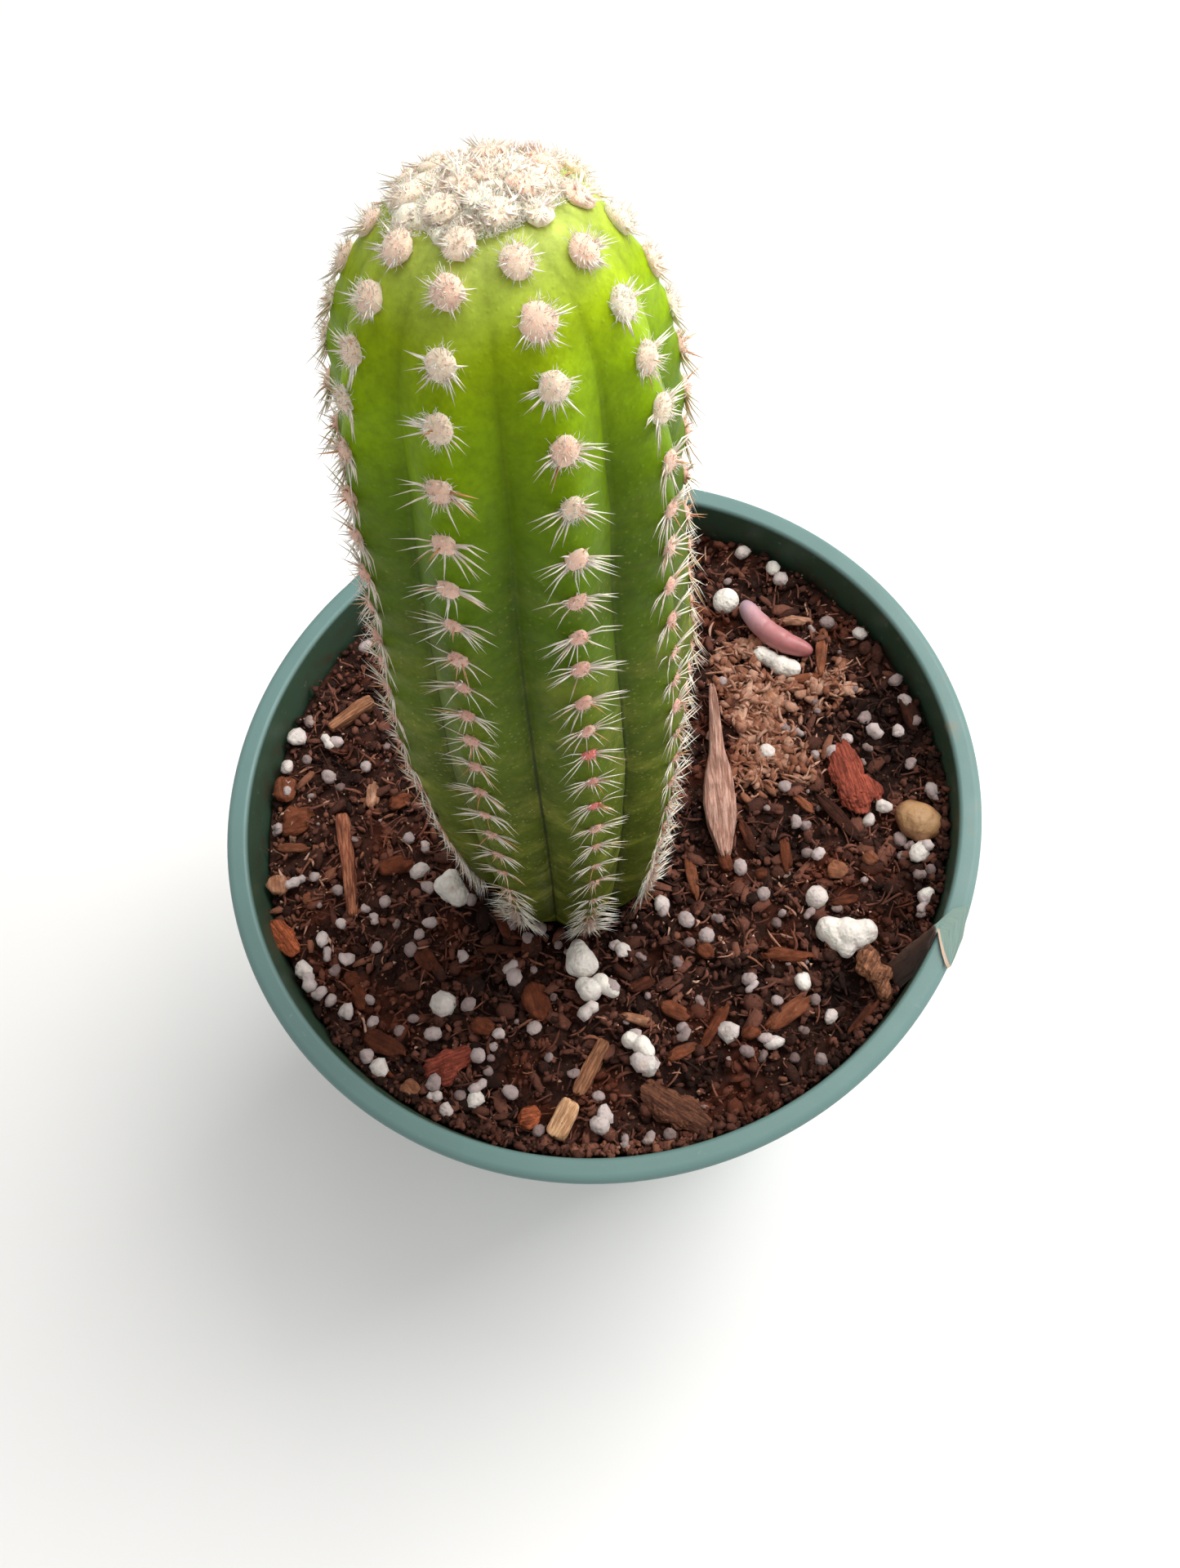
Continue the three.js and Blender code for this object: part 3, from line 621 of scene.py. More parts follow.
def worn_pebble():
    """Tan stone with ochre stains."""
    shade = settings("cactus_pieces").pebble
    f = Finish("worn_pebble")
    base = f.ramp(f.noise(260, detail=7, roughness=0.6, distortion=0.6), (0.3, paint(116, 76, 44)),
                  (0.45, shade), (0.6, paint(176, 136, 92)), (0.74, paint(194, 168, 140)))
    edge = f.ramp(f.tone("tone"), (0.15, 0.9), (0.85, 0.0))
    base = f.mix(edge, base, paint(118, 74, 46))
    specks = f.ramp(f.noise(1800, detail=4), (0.62, 0.0), (0.74, 0.6))
    base = f.mix(specks, base, paint(96, 62, 34))
    normal = f.bump(f.noise(900, detail=7, roughness=0.65), 0.16 * MM)
    return f.done(base, f.ramp(f.noise(300), (0.3, 0.5), (0.7, 0.72)), normal)


def bud_skin():
    """Smooth pink skin, paler at one end."""
    shade = settings("cactus_pieces").bud
    f = Finish("bud_skin")
    base = f.ramp(f.tone("tone"), (0.0, paint(166, 146, 164)), (0.14, paint(186, 148, 156)), (0.45, shade),
                  (1.0, paint(178, 106, 106)))
    base = f.toned(base, f.ramp(f.noise(420, detail=6), (0.35, 0.84), (0.7, 1.08)))
    normal = f.bump(f.noise(700, detail=4), 0.08 * MM)
    return f.done(base, f.ramp(f.noise(300), (0.3, 0.34), (0.7, 0.5)), normal, Subsurface_Weight=0.25,
                  Subsurface_Scale=0.8 * MM)


def dry_leaf():
    """Papery dead leaf with veins along it."""
    shade = settings("cactus_pieces").husk
    f = Finish("dry_leaf")
    veins = f.noise(1.0, detail=6, at=f.along_grain(120, 1500, 1), distortion=0.3)
    # Tones under 0.4 are painted shade on the part in the pot, darker towards its near edge; the top tones
    # are the flap's pale near edge, a painted highlight.
    base = f.ramp(f.tone("tone"), (0.0, paint(32, 18, 12)), (0.2, paint(58, 34, 24)), (0.4, shade),
                  (0.5, paint(106, 130, 122)), (0.75, paint(116, 142, 134)), (0.88, paint(176, 156, 138)),
                  (1.0, paint(196, 172, 152)))
    base = f.toned(base, f.ramp(veins, (0.3, 0.9), (0.65, 1.04)))
    soiled = f.ramp(f.noise(900, detail=6, roughness=0.7), (0.5, 0.0), (0.62, 0.7))
    soiled = f.times(soiled, f.ramp(f.tone("tone"), (0.4, 1.0), (0.46, 0.0)))
    base = f.mix(soiled, base, paint(30, 18, 14))
    normal = f.bump(veins, 0.05 * MM)
    return f.done(base, f.ramp(veins, (0.3, 0.55), (0.7, 0.75)), normal, Subsurface_Weight=0.2,
                  Subsurface_Scale=0.4 * MM)


def pale_floor():
    """Matt pale paper under the pot."""
    f = Finish("pale_floor")
    tint = settings("cactus_stage").floor
    base = f.mix(f.noise(30, detail=3), shaded(tint, 0.98), tint)
    return f.done(base, f.ramp(f.noise(200), (0.3, 0.8), (0.7, 0.9)), f.bump(f.noise(600), 0.02 * MM))


# Camera place, and the places on the mix that the camera sees


# Size of the picture in pixels, the longer side of the film in millimetres, and how far in millimetres the
# camera stands off the line to the middle of the lip
PICTURE_WIDTH = 1445
PICTURE_HEIGHT = 1920
FILM = 36
OFF_TO_RIGHT = -0.56
OFF_UP = 0.77


def camera_axes():
    """The camera's place and its right, up and forward directions."""
    stage = settings("cactus_stage")
    flat = Vector((0, math.cos(stage.elevation), -math.sin(stage.elevation)))
    over = Vector((0, math.sin(stage.elevation), math.cos(stage.elevation)))
    side = Vector((1, 0, 0))
    right = side * math.cos(stage.roll) + over * math.sin(stage.roll)
    up = over * math.cos(stage.roll) - side * math.sin(stage.roll)
    lip_middle = Vector((0, 0, settings("cactus_pot").height))
    off_middle = right * OFF_TO_RIGHT * MM + up * OFF_UP * MM
    return lip_middle - flat * stage.distance + off_middle, right, up, flat


def focal_pixels():
    """The camera's focal length in pixels of the photograph."""
    return settings("cactus_stage").lens / FILM * PICTURE_HEIGHT


def seen_at(column, row, height):
    """The place at a height that shows at a pixel of the photograph, and the width of a pixel there."""
    eye, right, up, ahead = camera_axes()
    focal = focal_pixels()
    ray = ahead * focal + right * (column - PICTURE_WIDTH / 2) - up * (row - PICTURE_HEIGHT / 2)
    spot = eye + ray * ((height - eye.z) / ray.z)
    return spot.x, spot.y, (spot - eye).dot(ahead) / focal


def seen_rows(points):
    """The rows of the photograph at which points show."""
    eye, _, up, ahead = (np.array(v) for v in camera_axes())
    away = points - eye
    return PICTURE_HEIGHT / 2 - focal_pixels() * (away @ up) / (away @ ahead)


def seen_on_mix(column, row):
    """The place on the mix that shows at a pixel, kept inside the pot's wall."""
    mix = settings("cactus_mix")
    x, y, _ = seen_at(column, row, mix.level + 0.4 * MM)
    keep = min(1.0, (mix.radius - 1.4 * MM) / math.hypot(x, y))
    return x * keep, y * keep


# Shape of the stem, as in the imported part: s is the height on the stem above its foot, in metres


STEM_FOOT = np.array([-5.4, -5.0, 80]) * MM
LEAN_RIGHT = 0.028
LEAN_TO_VIEWER = 0.108
CURVE_BACK = 0.095
CURVE_RIGHT = 0.036
GIRTH_AT = np.array([-22, -15, -7, 0, 8, 16, 26, 36, 60, 87]) * MM
GIRTH = np.array([0.8, 3.2, 7.4, 9.7, 11.85, 12.95, 13.4, 14.0, 14.7, 12.8]) * MM
DOME_POWER = 2.46
FIRST_RIB = math.radians(-81.5)
TWIST_AT_FOOT = math.radians(-12.3)
TWIST_REACH = 60 * MM
TWIST_HIGH_UP = math.radians(1.8)
FIRST_AREOLE = 8.3 * MM
CROWN_START = 100 * MM
WINDING = 4 / 9


def crest_radius(s):
    """Radius of the stem over a rib's crest."""
    stem = settings("cactus_stem")
    reach = 3 * MM
    s = np.asarray(s, float)
    girth = sum(np.interp(s + k * reach, GIRTH_AT, GIRTH) for k in (-1, 0, 1)) / 3
    share = np.clip((s - (stem.height - stem.dome)) / stem.dome, 0, 1)
    return girth * (1 - share**DOME_POWER) ** (1 / DOME_POWER)


def stem_frame(s):
    """Middle of the stem at s and the two directions across it."""
    height = settings("cactus_stem").height
    s = np.asarray(s, float)
    u = np.maximum(s, 0) / height
    rightward = LEAN_RIGHT + CURVE_RIGHT * u
    backward = CURVE_BACK * u - LEAN_TO_VIEWER
    middle = columns(rightward * s, backward * s, s) + STEM_FOOT
    growth = unit(columns(rightward + CURVE_RIGHT * u, backward + CURVE_BACK * u, 1 + 0 * s))
    across = unit(np.cross(np.array([0.0, 1.0, 0.0]), growth))
    return middle, across, np.cross(growth, across)


def crest_angle(rib, s):
    """Angle of a rib's crest at s: the ribs turn a little round the stem towards its foot."""
    towards_foot = np.clip(1 - s / TWIST_REACH, 0, 2)
    high_up = smoothstep(84 * MM, 98 * MM, s) * (1 - smoothstep(109 * MM, 112.6 * MM, s))
    turn = TWIST_AT_FOOT * towards_foot**2 + TWIST_HIGH_UP * high_up
    return FIRST_RIB + rib * TURN / settings("cactus_stem").ribs + turn


def off_crest(s, angle):
    """0 on a rib's crest and 1 in the furrow between two ribs, with the number of the nearest rib."""
    ribs = settings("cactus_stem").ribs
    turns = (angle - crest_angle(0, s)) * ribs / TURN
    nearest = np.round(turns)
    return np.abs(turns - nearest) * 2, nearest.astype(int) % ribs


def furrow_depth(s, off):
    """How far the skin lies below the crest."""
    stem = settings("cactus_stem")
    near_foot = smoothstep(-8 * MM, 16 * MM, s)
    near_tip = 1 - smoothstep(stem.height - 16 * MM, stem.height - MM, s)
    return stem.rib_depth * near_foot * near_tip * off**1.6


def stem_surface(s, angle):
    """Points on the stem, without the swelling under each areole."""
    middle, across, away = stem_frame(s)
    off, _ = off_crest(s, angle)
    radius = (crest_radius(s) - furrow_depth(s, off))[..., None]
    return middle + radius * (across * np.cos(angle)[..., None] + away * np.sin(angle)[..., None])


# The rows of the photograph at which the areoles of the ribs in front show, from the top down
AREOLE_ROWS = {
    0: [322, 394, 472, 550, 619, 681, 732, 777, 816, 857, 891, 920, 953, 982, 1011, 1033, 1056, 1076, 1098],
    8: [301, 359, 446, 523, 598, 663, 717, 761, 803, 837, 872, 903, 934, 966, 994, 1018, 1042, 1064, 1086],
    7: [306, 367, 431, 488, 550, 605, 653, 699, 737, 777, 808, 839, 872, 904, 934, 960, 985, 1010],
    1: [309, 373, 437, 499, 563, 620, 668, 716, 757, 797, 830, 863, 893, 925, 955, 984, 1008, 1030],
    2: [271, 322, 373, 424, 475, 528, 582, 630],
}


def areole_stations(rib):
    """Where the areoles stand along a rib: in their seen places in front, and a pitch apart elsewhere."""
    a, stem = settings("cactus_areoles"), settings("cactus_stem")
    body = np.arange(FIRST_AREOLE, stem.height - stem.dome, 0.1 * MM)
    heights = np.concatenate([body, dome_height(np.linspace(1, 0.1, 400))])
    along = np.concatenate([[0], np.cumsum(np.hypot(np.diff(heights), np.diff(crest_radius(heights))))])
    if rib in AREOLE_ROWS:
        rows = seen_rows(stem_surface(heights, crest_angle(rib, heights)))
        rising = rows == np.minimum.accumulate(rows)
        marks = sorted(np.interp(AREOLE_ROWS[rib], rows[rising][::-1], along[rising][::-1]))
    else:
        marks = [a.pitch * ((rib * WINDING) % 1)]
    while marks[0] > a.pitch:
        marks.insert(0, marks[0] - a.pitch * (0.8 if marks[0] < 16 * MM else 1))
    crown = np.interp(CROWN_START, heights, along)
    while marks[-1] < along[-1] - a.crown_pitch * 0.8:
        marks.append(marks[-1] + (a.pitch if marks[-1] < crown else a.crown_pitch))
    return np.interp(marks, along, heights)


def areole_frames():
    """For each areole: its rib, height, place, and the directions to the side, up the rib and outward."""
    stem = settings("cactus_stem")
    rows = []
    for rib in range(stem.ribs):
        for s in areole_stations(rib):
            rows.append((rib, s, crest_angle(rib, s)))
    ribs, s, angles = (np.array(column) for column in zip(*rows))
    step = 0.4 * MM
    here = stem_surface(s, angles)
    above = stem_surface(np.minimum(s + step, stem.height - 0.02 * MM), angles)
    up = unit(above - stem_surface(s - step, angles))
    _, across, away = stem_frame(s)
    around = across * -np.sin(angles)[:, None] + away * np.cos(angles)[:, None]
    out = unit(np.cross(around, up))
    return ribs, s, here, np.cross(up, out), up, out


def tip_frame():
    """Place of the stem's tip, with the way that it points."""
    stem = settings("cactus_stem")
    middle, across, away = stem_frame(np.array([stem.height]))
    return middle[0], across[0], away[0], np.cross(across[0], away[0])


# The mix's surface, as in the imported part


def mix_height(x, y):
    """Height of the mix at a place: gentle lumps that fade out in the dip round the stem."""
    u, v = np.asarray(x) / MM, np.asarray(y) / MM
    lumps = (0.42 * np.sin(0.41 * u + 1.3) * np.cos(0.36 * v - 0.6) + 0.3 * np.sin(0.83 * u - 0.62 * v + 0.9)
             + 0.2 * np.sin(1.37 * v + 0.71 * u + 2.1))
    dip = np.exp(-((from_stem(x, y) / (13 * MM)) ** 2))
    return settings("cactus_mix").level + (lumps * (1 - dip) - 1.3 * dip) * MM


def from_stem(x, y):
    """Distance from the middle of the stem's foot."""
    return np.hypot(np.asarray(x) - STEM_FOOT[0], np.asarray(y) - STEM_FOOT[1])


def rough(points, scale, octaves):
    """Fractal noise from -1 to 1 at each point, for lumps of about 1/scale metres."""
    return np.array([noise.fractal(Vector(p) * scale, 0.9, 2.1, octaves) for p in points])


def soft_noise(*places):
    """Smooth noise from -1 to 1 at places given by three coordinates, each one number or many."""
    parts = np.broadcast_arrays(*(np.asarray(part, float) for part in places))
    return np.array([noise.noise(Vector(place)) for place in zip(*parts)])


def cell_distance(points, scale):
    """Distance from each point to the nearest of seeds strewn about 1/scale metres apart, in such units."""
    return np.array([noise.voronoi(Vector(p) * scale)[0][0] for p in points])


# Pot


def pot_outer_radius(z):
    """Outer radius of the pot's side below the collar."""
    pot = settings("cactus_pot")
    top = pot.lip_radius - pot.lip_width - pot.collar_step
    return pot.foot_radius + (top - pot.foot_radius) * z / (pot.height - pot.collar_depth)


def pot_inner_radius(z):
    """Inner radius of the pot's side, which steps out under the collar."""
    pot = settings("cactus_pot")
    step = pot.height - pot.collar_depth
    if z < step:
        return pot_outer_radius(z) - pot.wall
    start = pot_outer_radius(step) + 0.4 * MM
    return start + (pot.lip_radius - pot.lip_width - start) * (z - step) / pot.collar_depth


def arc(middle, radius, start, end, steps, tall=None):
    """Points of an arc in the pot's section, angles in degrees from outward. Tall is its upright radius."""
    angles = [math.radians(start + (end - start) * i / steps) for i in range(steps + 1)]
    upright = radius if tall is None else tall
    return [(middle[0] + radius * math.cos(a), middle[1] + upright * math.sin(a)) for a in angles]


def pot_section():
    """The section of the pot from the middle of its underside round to the middle of its inner floor."""
    pot = settings("cactus_pot")
    step = pot.height - pot.collar_depth
    lip_foot = pot.height - pot.lip_depth
    floor_top = pot.floor_rise + pot.floor_thickness
    mouth = pot.lip_radius - pot.lip_width
    ring_inside = pot.foot_radius - pot.foot_ring
    points = [(0, pot.floor_rise + 0.5 * MM), (4 * MM, pot.floor_rise + 0.5 * MM), (5 * MM, pot.floor_rise)]
    points += [(ring_inside - 1.6 * MM, pot.floor_rise), (ring_inside - 0.5 * MM, 0.6 * MM)]
    points += arc((ring_inside + 0.4 * MM, 0.4 * MM), 0.4 * MM, 200, 270, 3)
    points += arc((pot.foot_radius - 0.7 * MM, 0.7 * MM), 0.7 * MM, 270, 360, 5)
    points += [(pot_outer_radius(share * step), share * step) for share in (0.06, 0.3, 0.6, 0.9)]
    points += arc((pot_outer_radius(step) + 0.8 * MM, step + 0.2 * MM), 0.8 * MM, 190, 130, 3)
    points += [(pot_inner_radius(step + 2.2 * MM) + pot.wall - 0.1 * MM, step + 1.8 * MM)]
    collar = (step + 3 * MM, step + 8 * MM, lip_foot - 0.5 * MM)
    points += [(pot_inner_radius(z) + pot.wall, z) for z in collar]
    points += arc((pot.lip_radius - pot.lip_taper - 0.5 * MM, lip_foot + 0.5 * MM), 0.5 * MM, 270, 352, 4)
    points += [(pot.lip_radius - 0.3 * MM, pot.height - 2.6 * MM)]
    points += arc((pot.lip_radius - 1.1 * MM, pot.height - 0.9 * MM), 1.1 * MM, 0, 90, 7, 0.9 * MM)
    points += [(pot.lip_radius - 1.9 * MM, pot.height - 0.05 * MM)]
    points += arc((mouth + 0.6 * MM, pot.height - 0.8 * MM), 0.6 * MM, 90, 176, 6, 0.78 * MM)
    points += [(pot_inner_radius(z), z) for z in (pot.height - 4 * MM, step + 8 * MM, step + 3 * MM)]
    points += [(pot_inner_radius(step + 2.2 * MM), step + 2.2 * MM), (pot_inner_radius(step - MM), step - MM)]
    points += [(pot_inner_radius(share * step), share * step) for share in (0.75, 0.5, 0.25)]
    inner_foot = pot_inner_radius(floor_top)
    points += arc((inner_foot - 1.8 * MM, floor_top + 1.8 * MM), 1.8 * MM, 0, -90, 5)
    return points + [(12 * MM, floor_top), (0, floor_top)]


def inner_side(body):
    """1 on the faces of the pot's inside and of its lip's top, 0 on its outside and underside."""
    points, facing = coordinates(body), coordinates(body, "normal")
    outward_share = (facing[:, :2] * points[:, :2]).sum(1) / (np.hypot(points[:, 0], points[:, 1]) + 1e-9)
    above_floor = points[:, 2] > 3 * MM
    return ((outward_share < 0.3) & (facing[:, 2] > -0.5) & above_floor).astype(float)


def build_pot():
    """The pot: its section spun round, with the drain holes bored."""
    pot = settings("cactus_pot")
    section = pot_section()
    edges = [(i, i + 1) for i in range(len(section) - 1)]
    body = piece_from("pot_body", [(r, 0, z) for r, z in section], [], edges)
    alone(body)
    edit_all(lambda: bpy.ops.mesh.spin(steps=192, angle=TURN, center=(0, 0, 0), axis=(0, 0, 1)), outward)
    for hole in range(pot.drain_holes):
        bearing = (hole + 0.5) * TURN / pot.drain_holes
        place = (pot.drain_circle * math.cos(bearing), pot.drain_circle * math.sin(bearing), pot.floor_rise)
        drill = new_primitive(bpy.ops.mesh.primitive_cylinder_add, "drill", vertices=40,
                              radius=pot.drain_radius, depth=12 * MM, location=place)
        alone(body)
        cut = body.modifiers.new("drain", "BOOLEAN")
        cut.operation = "DIFFERENCE"
        cut.object = drill
        bpy.ops.object.modifier_apply(modifier=cut.name)
        bpy.data.objects.remove(drill)
    # The inner faces mark where the plastic's painted shade falls.
    tone_points(body, "inner", inner_side(body))
    finish_piece(body, moulded_plastic(), "pot", "pot")
    alone(body)
    bpy.ops.object.shade_smooth_by_angle(angle=math.radians(35))


# Potting mix


def build_mix_body():
    """The plug of mix that fills the pot, with its rough surface."""
    mix = settings("cactus_mix")
    floor = 4 * MM
    sunk = 0.9 * MM
    moat_radius, moat_width, moat_depth = 11.6 * MM, 1.6 * MM, 2.2 * MM
    wall_part, floor_part = 0.3, 0.3

    def place(u, v):
        angle = u * TURN
        on_top = v > wall_part
        rim_share = np.clip((1 - v) / (1 - wall_part), 0, 1)
        radius = np.where(on_top, mix.radius * rim_share, 0)
        x, y = radius * np.cos(angle), radius * np.sin(angle)
        top = mix_height(x, y) - sunk
        lumpy = rough(columns(x, y, top * 0), 420, 5) * 0.75 * MM
        moat = -moat_depth * np.exp(-(((from_stem(x, y) - moat_radius) / moat_width) ** 2))
        inner = smoothstep(0, 2 * MM, mix.radius - radius)
        top = top + (lumpy + moat) * inner
        wall = np.clip(v / wall_part, 0, 1)
        up_wall = np.clip((wall - floor_part) / (1 - floor_part), 0, 1)
        z = np.where(on_top, top, floor + (mix_height(x, y) - floor) * up_wall)
        wall_radius = np.array([pot_inner_radius(h) - 0.5 * MM for h in z])
        radius = np.where(on_top, radius, wall_radius * np.clip(wall / floor_part, 0, 1))
        # The body's tone carries the mix's painted shadow and light, and its real patches.
        tone = 0.24 * painted_shade_and_patches(radius * np.cos(angle), radius * np.sin(angle))
        return columns(radius * np.cos(angle), radius * np.sin(angle), z), {"tone": tone}

    body = wrapped_grid("potting_mix", 200, 110, place)
    finish_piece(body, bpy.data.materials["peat_crumb"], "soil", "soil")


def jumbled(piece, spread, seed, *first):
    """A small shape whose corners are moved about at random, after any other steps in edit mode."""
    edit_all(*first, lambda: bpy.ops.transform.vertex_random(offset=spread, seed=seed))
    return shape_of(piece)


def crumb_shape(seed):
    """A rough crumb about one unit across."""
    crumb = new_primitive(bpy.ops.mesh.primitive_ico_sphere_add, "crumb", subdivisions=1, radius=0.5)
    return jumbled(crumb, 0.2, seed)


def clod_shape(seed):
    """A rounder crumb with a few more faces."""
    clod = new_primitive(bpy.ops.mesh.primitive_uv_sphere_add, "clod", segments=7, ring_count=6, radius=0.5)
    return jumbled(clod, 0.12, seed)


def speck_shape(seed):
    """A sharp speck with four corners."""
    speck = new_primitive(bpy.ops.mesh.primitive_cone_add, "speck", vertices=3, radius1=0.55, depth=0.9)
    return jumbled(speck, 0.2, seed)


def chip_shape(seed):
    """A chip of bark one unit long, one wide and one thick: split along its length and torn at its ends."""
    draw = np.random.default_rng(seed)
    skew, lean = 0.5 * draw.standard_normal(2)

    def place(u, v):
        around, along = u * TURN, 2 * v - 1
        across, high = np.cos(around), np.sin(around)
        square = np.maximum(np.abs(across), np.abs(high)) ** 0.6
        across, high = across / square, high / square
        torn = soft_noise(2.2 * across, high, seed)
        split = soft_noise(1.2 * along, 4 * across, seed + high)
        full = (1 - np.abs(along) ** 5) ** 0.35 * (0.86 + 0.14 * np.cos(2.2 * along + skew))
        x = along * (1 - 0.5 * np.abs(torn)) + 0.16 * skew * across
        y = across * full * (1 + 0.3 * split) + 0.1 * lean * along
        z = high * full * (1 + 0.5 * split) + 0.3 * split
        return 0.5 * columns(x, y, z), {}

    return shape_of(wrapped_grid("chip", 14, 16, place))


def flake_shape(seed):
    """A flat bit of bark about one unit long, with torn ends."""
    flake = new_primitive(bpy.ops.mesh.primitive_cube_add, "flake", size=1)
    points, faces = jumbled(flake, 0.13, seed, lambda: bpy.ops.mesh.subdivide(number_cuts=1))
    points[:, 1] *= 0.55 + 0.4 * (1 - (2 * points[:, 0]) ** 2).clip(0, 1)
    return points, faces


def fibre_shape(seed):
    """A bent torn fibre one unit long and one unit thick, to be scaled thin."""
    draw = np.random.default_rng(seed)
    sway, turn = 1.5 * draw.standard_normal(2), 2 * draw.standard_normal(2)

    def place(u, v):
        full = 0.5 * np.clip(4.4 * v * (1 - v), 0, 1) ** 0.5 * (0.85 + 0.15 * np.cos(9 * v + sway[0]))
        y = sway[0] * np.sin(3.1 * v + turn[0]) + full * np.cos(u * TURN)
        z = 0.4 * sway[1] * np.sin(3.1 * v + turn[1]) + full * np.sin(u * TURN)
        return columns(v - 0.5, y, z), {}

    return shape_of(wrapped_grid("fibre", 5, 5, place))


# Places where the mix is painted darker as shadow, or paler, mostly for real pale or brown patches and once
# as painted light over its left: the pixel, the reach in millimetres and how much darker or paler
MIX_PAINTED_SHADE_AND_PATCHES = [
    (610, 1105, 4.2, -0.85), (655, 1122, 3.0, -0.7), (745, 1118, 3.4, -0.5), (1060, 865, 4.6, -0.4),
    (1115, 880, 5.0, -0.55), (1090, 930, 3.6, -0.45), (1030, 1200, 3.4, -0.55), (1045, 1235, 3.4, -0.6),
    (590, 1198, 3.2, -0.6), (640, 1215, 2.4, -0.4), (412, 935, 3.2, -0.65), (900, 1190, 3.0, -0.45),
    (560, 1045, 3.0, -0.5), (860, 1010, 3.6, -0.4), (955, 1010, 3.2, -0.35), (640, 1350, 2.6, -0.5),
    (880, 1310, 3.0, -0.5), (1130, 1135, 3.4, -0.6), (790, 1180, 3.0, -0.35), (1110, 1085, 3.0, -0.4),
    (365, 1000, 3.2, 0.45), (1035, 850, 3.2, 0.35), (925, 860, 5.5, 0.6), (885, 800, 3.0, 0.3),
    (900, 1150, 3.0, 0.25), (835, 1165, 2.6, 0.2), (1000, 940, 3.0, 0.3), (690, 1400, 3.0, 0.4),
    (390, 1040, 15.0, 0.2),
]


def painted_shade_and_patches(x, y):
    """How much the mix is painted darker as shadow, or paler as light or a real patch, at a place: 1 is its
    usual tone.
    """
    shade = np.ones_like(np.asarray(x, float))
    for column, row, reach, amount in MIX_PAINTED_SHADE_AND_PATCHES:
        near_x, near_y = seen_on_mix(column, row)
        shade += amount * np.exp(-(((x - near_x) ** 2 + (y - near_y) ** 2) / (reach * MM) ** 2))
    return np.clip(shade, 0.12, 1.8)


def open_ground(draw, amount, edge, near_stem):
    """Random places on the mix, clear of the wall and of the stem."""
    mix = settings("cactus_mix")
    radius = (mix.radius - edge) * np.sqrt(draw.random(3 * amount))
    angle = TURN * draw.random(3 * amount)
    x, y = radius * np.cos(angle), radius * np.sin(angle)
    free = from_stem(x, y) > near_stem
    return x[free][:amount], y[free][:amount]


def uneven(draw, size, least, more, proportions=1):
    """Lengths, widths and heights that differ from a size at random."""
    return size[:, None] * (least + more * draw.random((len(size), 3))) * proportions


def random_turns(draw, amount, tilt):
    """Rotation matrices with any yaw, each leaning by about the tilt to some side."""
    yaws = TURN * draw.random(amount)
    return turning(yaws, tilt * draw.standard_normal(amount), TURN * draw.random(amount))


def strew_soil(name, shapes, draw, x, y, sizes, lift, tilt, tones, with_painted_shade=True):
    """Strews copies of small shapes at places on the mix, with a length, width and height for each."""
    places = columns(x, y, mix_height(x, y) + lift)
    turns = random_turns(draw, len(x), tilt)
    # The mix's painted shadow and light, and its real patches, darken or pale the tones here.
    shades = tones * painted_shade_and_patches(x, y) if with_painted_shade else tones
    piece = strewn(name, shapes, draw.integers(0, len(shapes), len(x)), places, sizes, turns, shades)
    finish_piece(piece, bpy.data.materials["peat_crumb"], "soil")


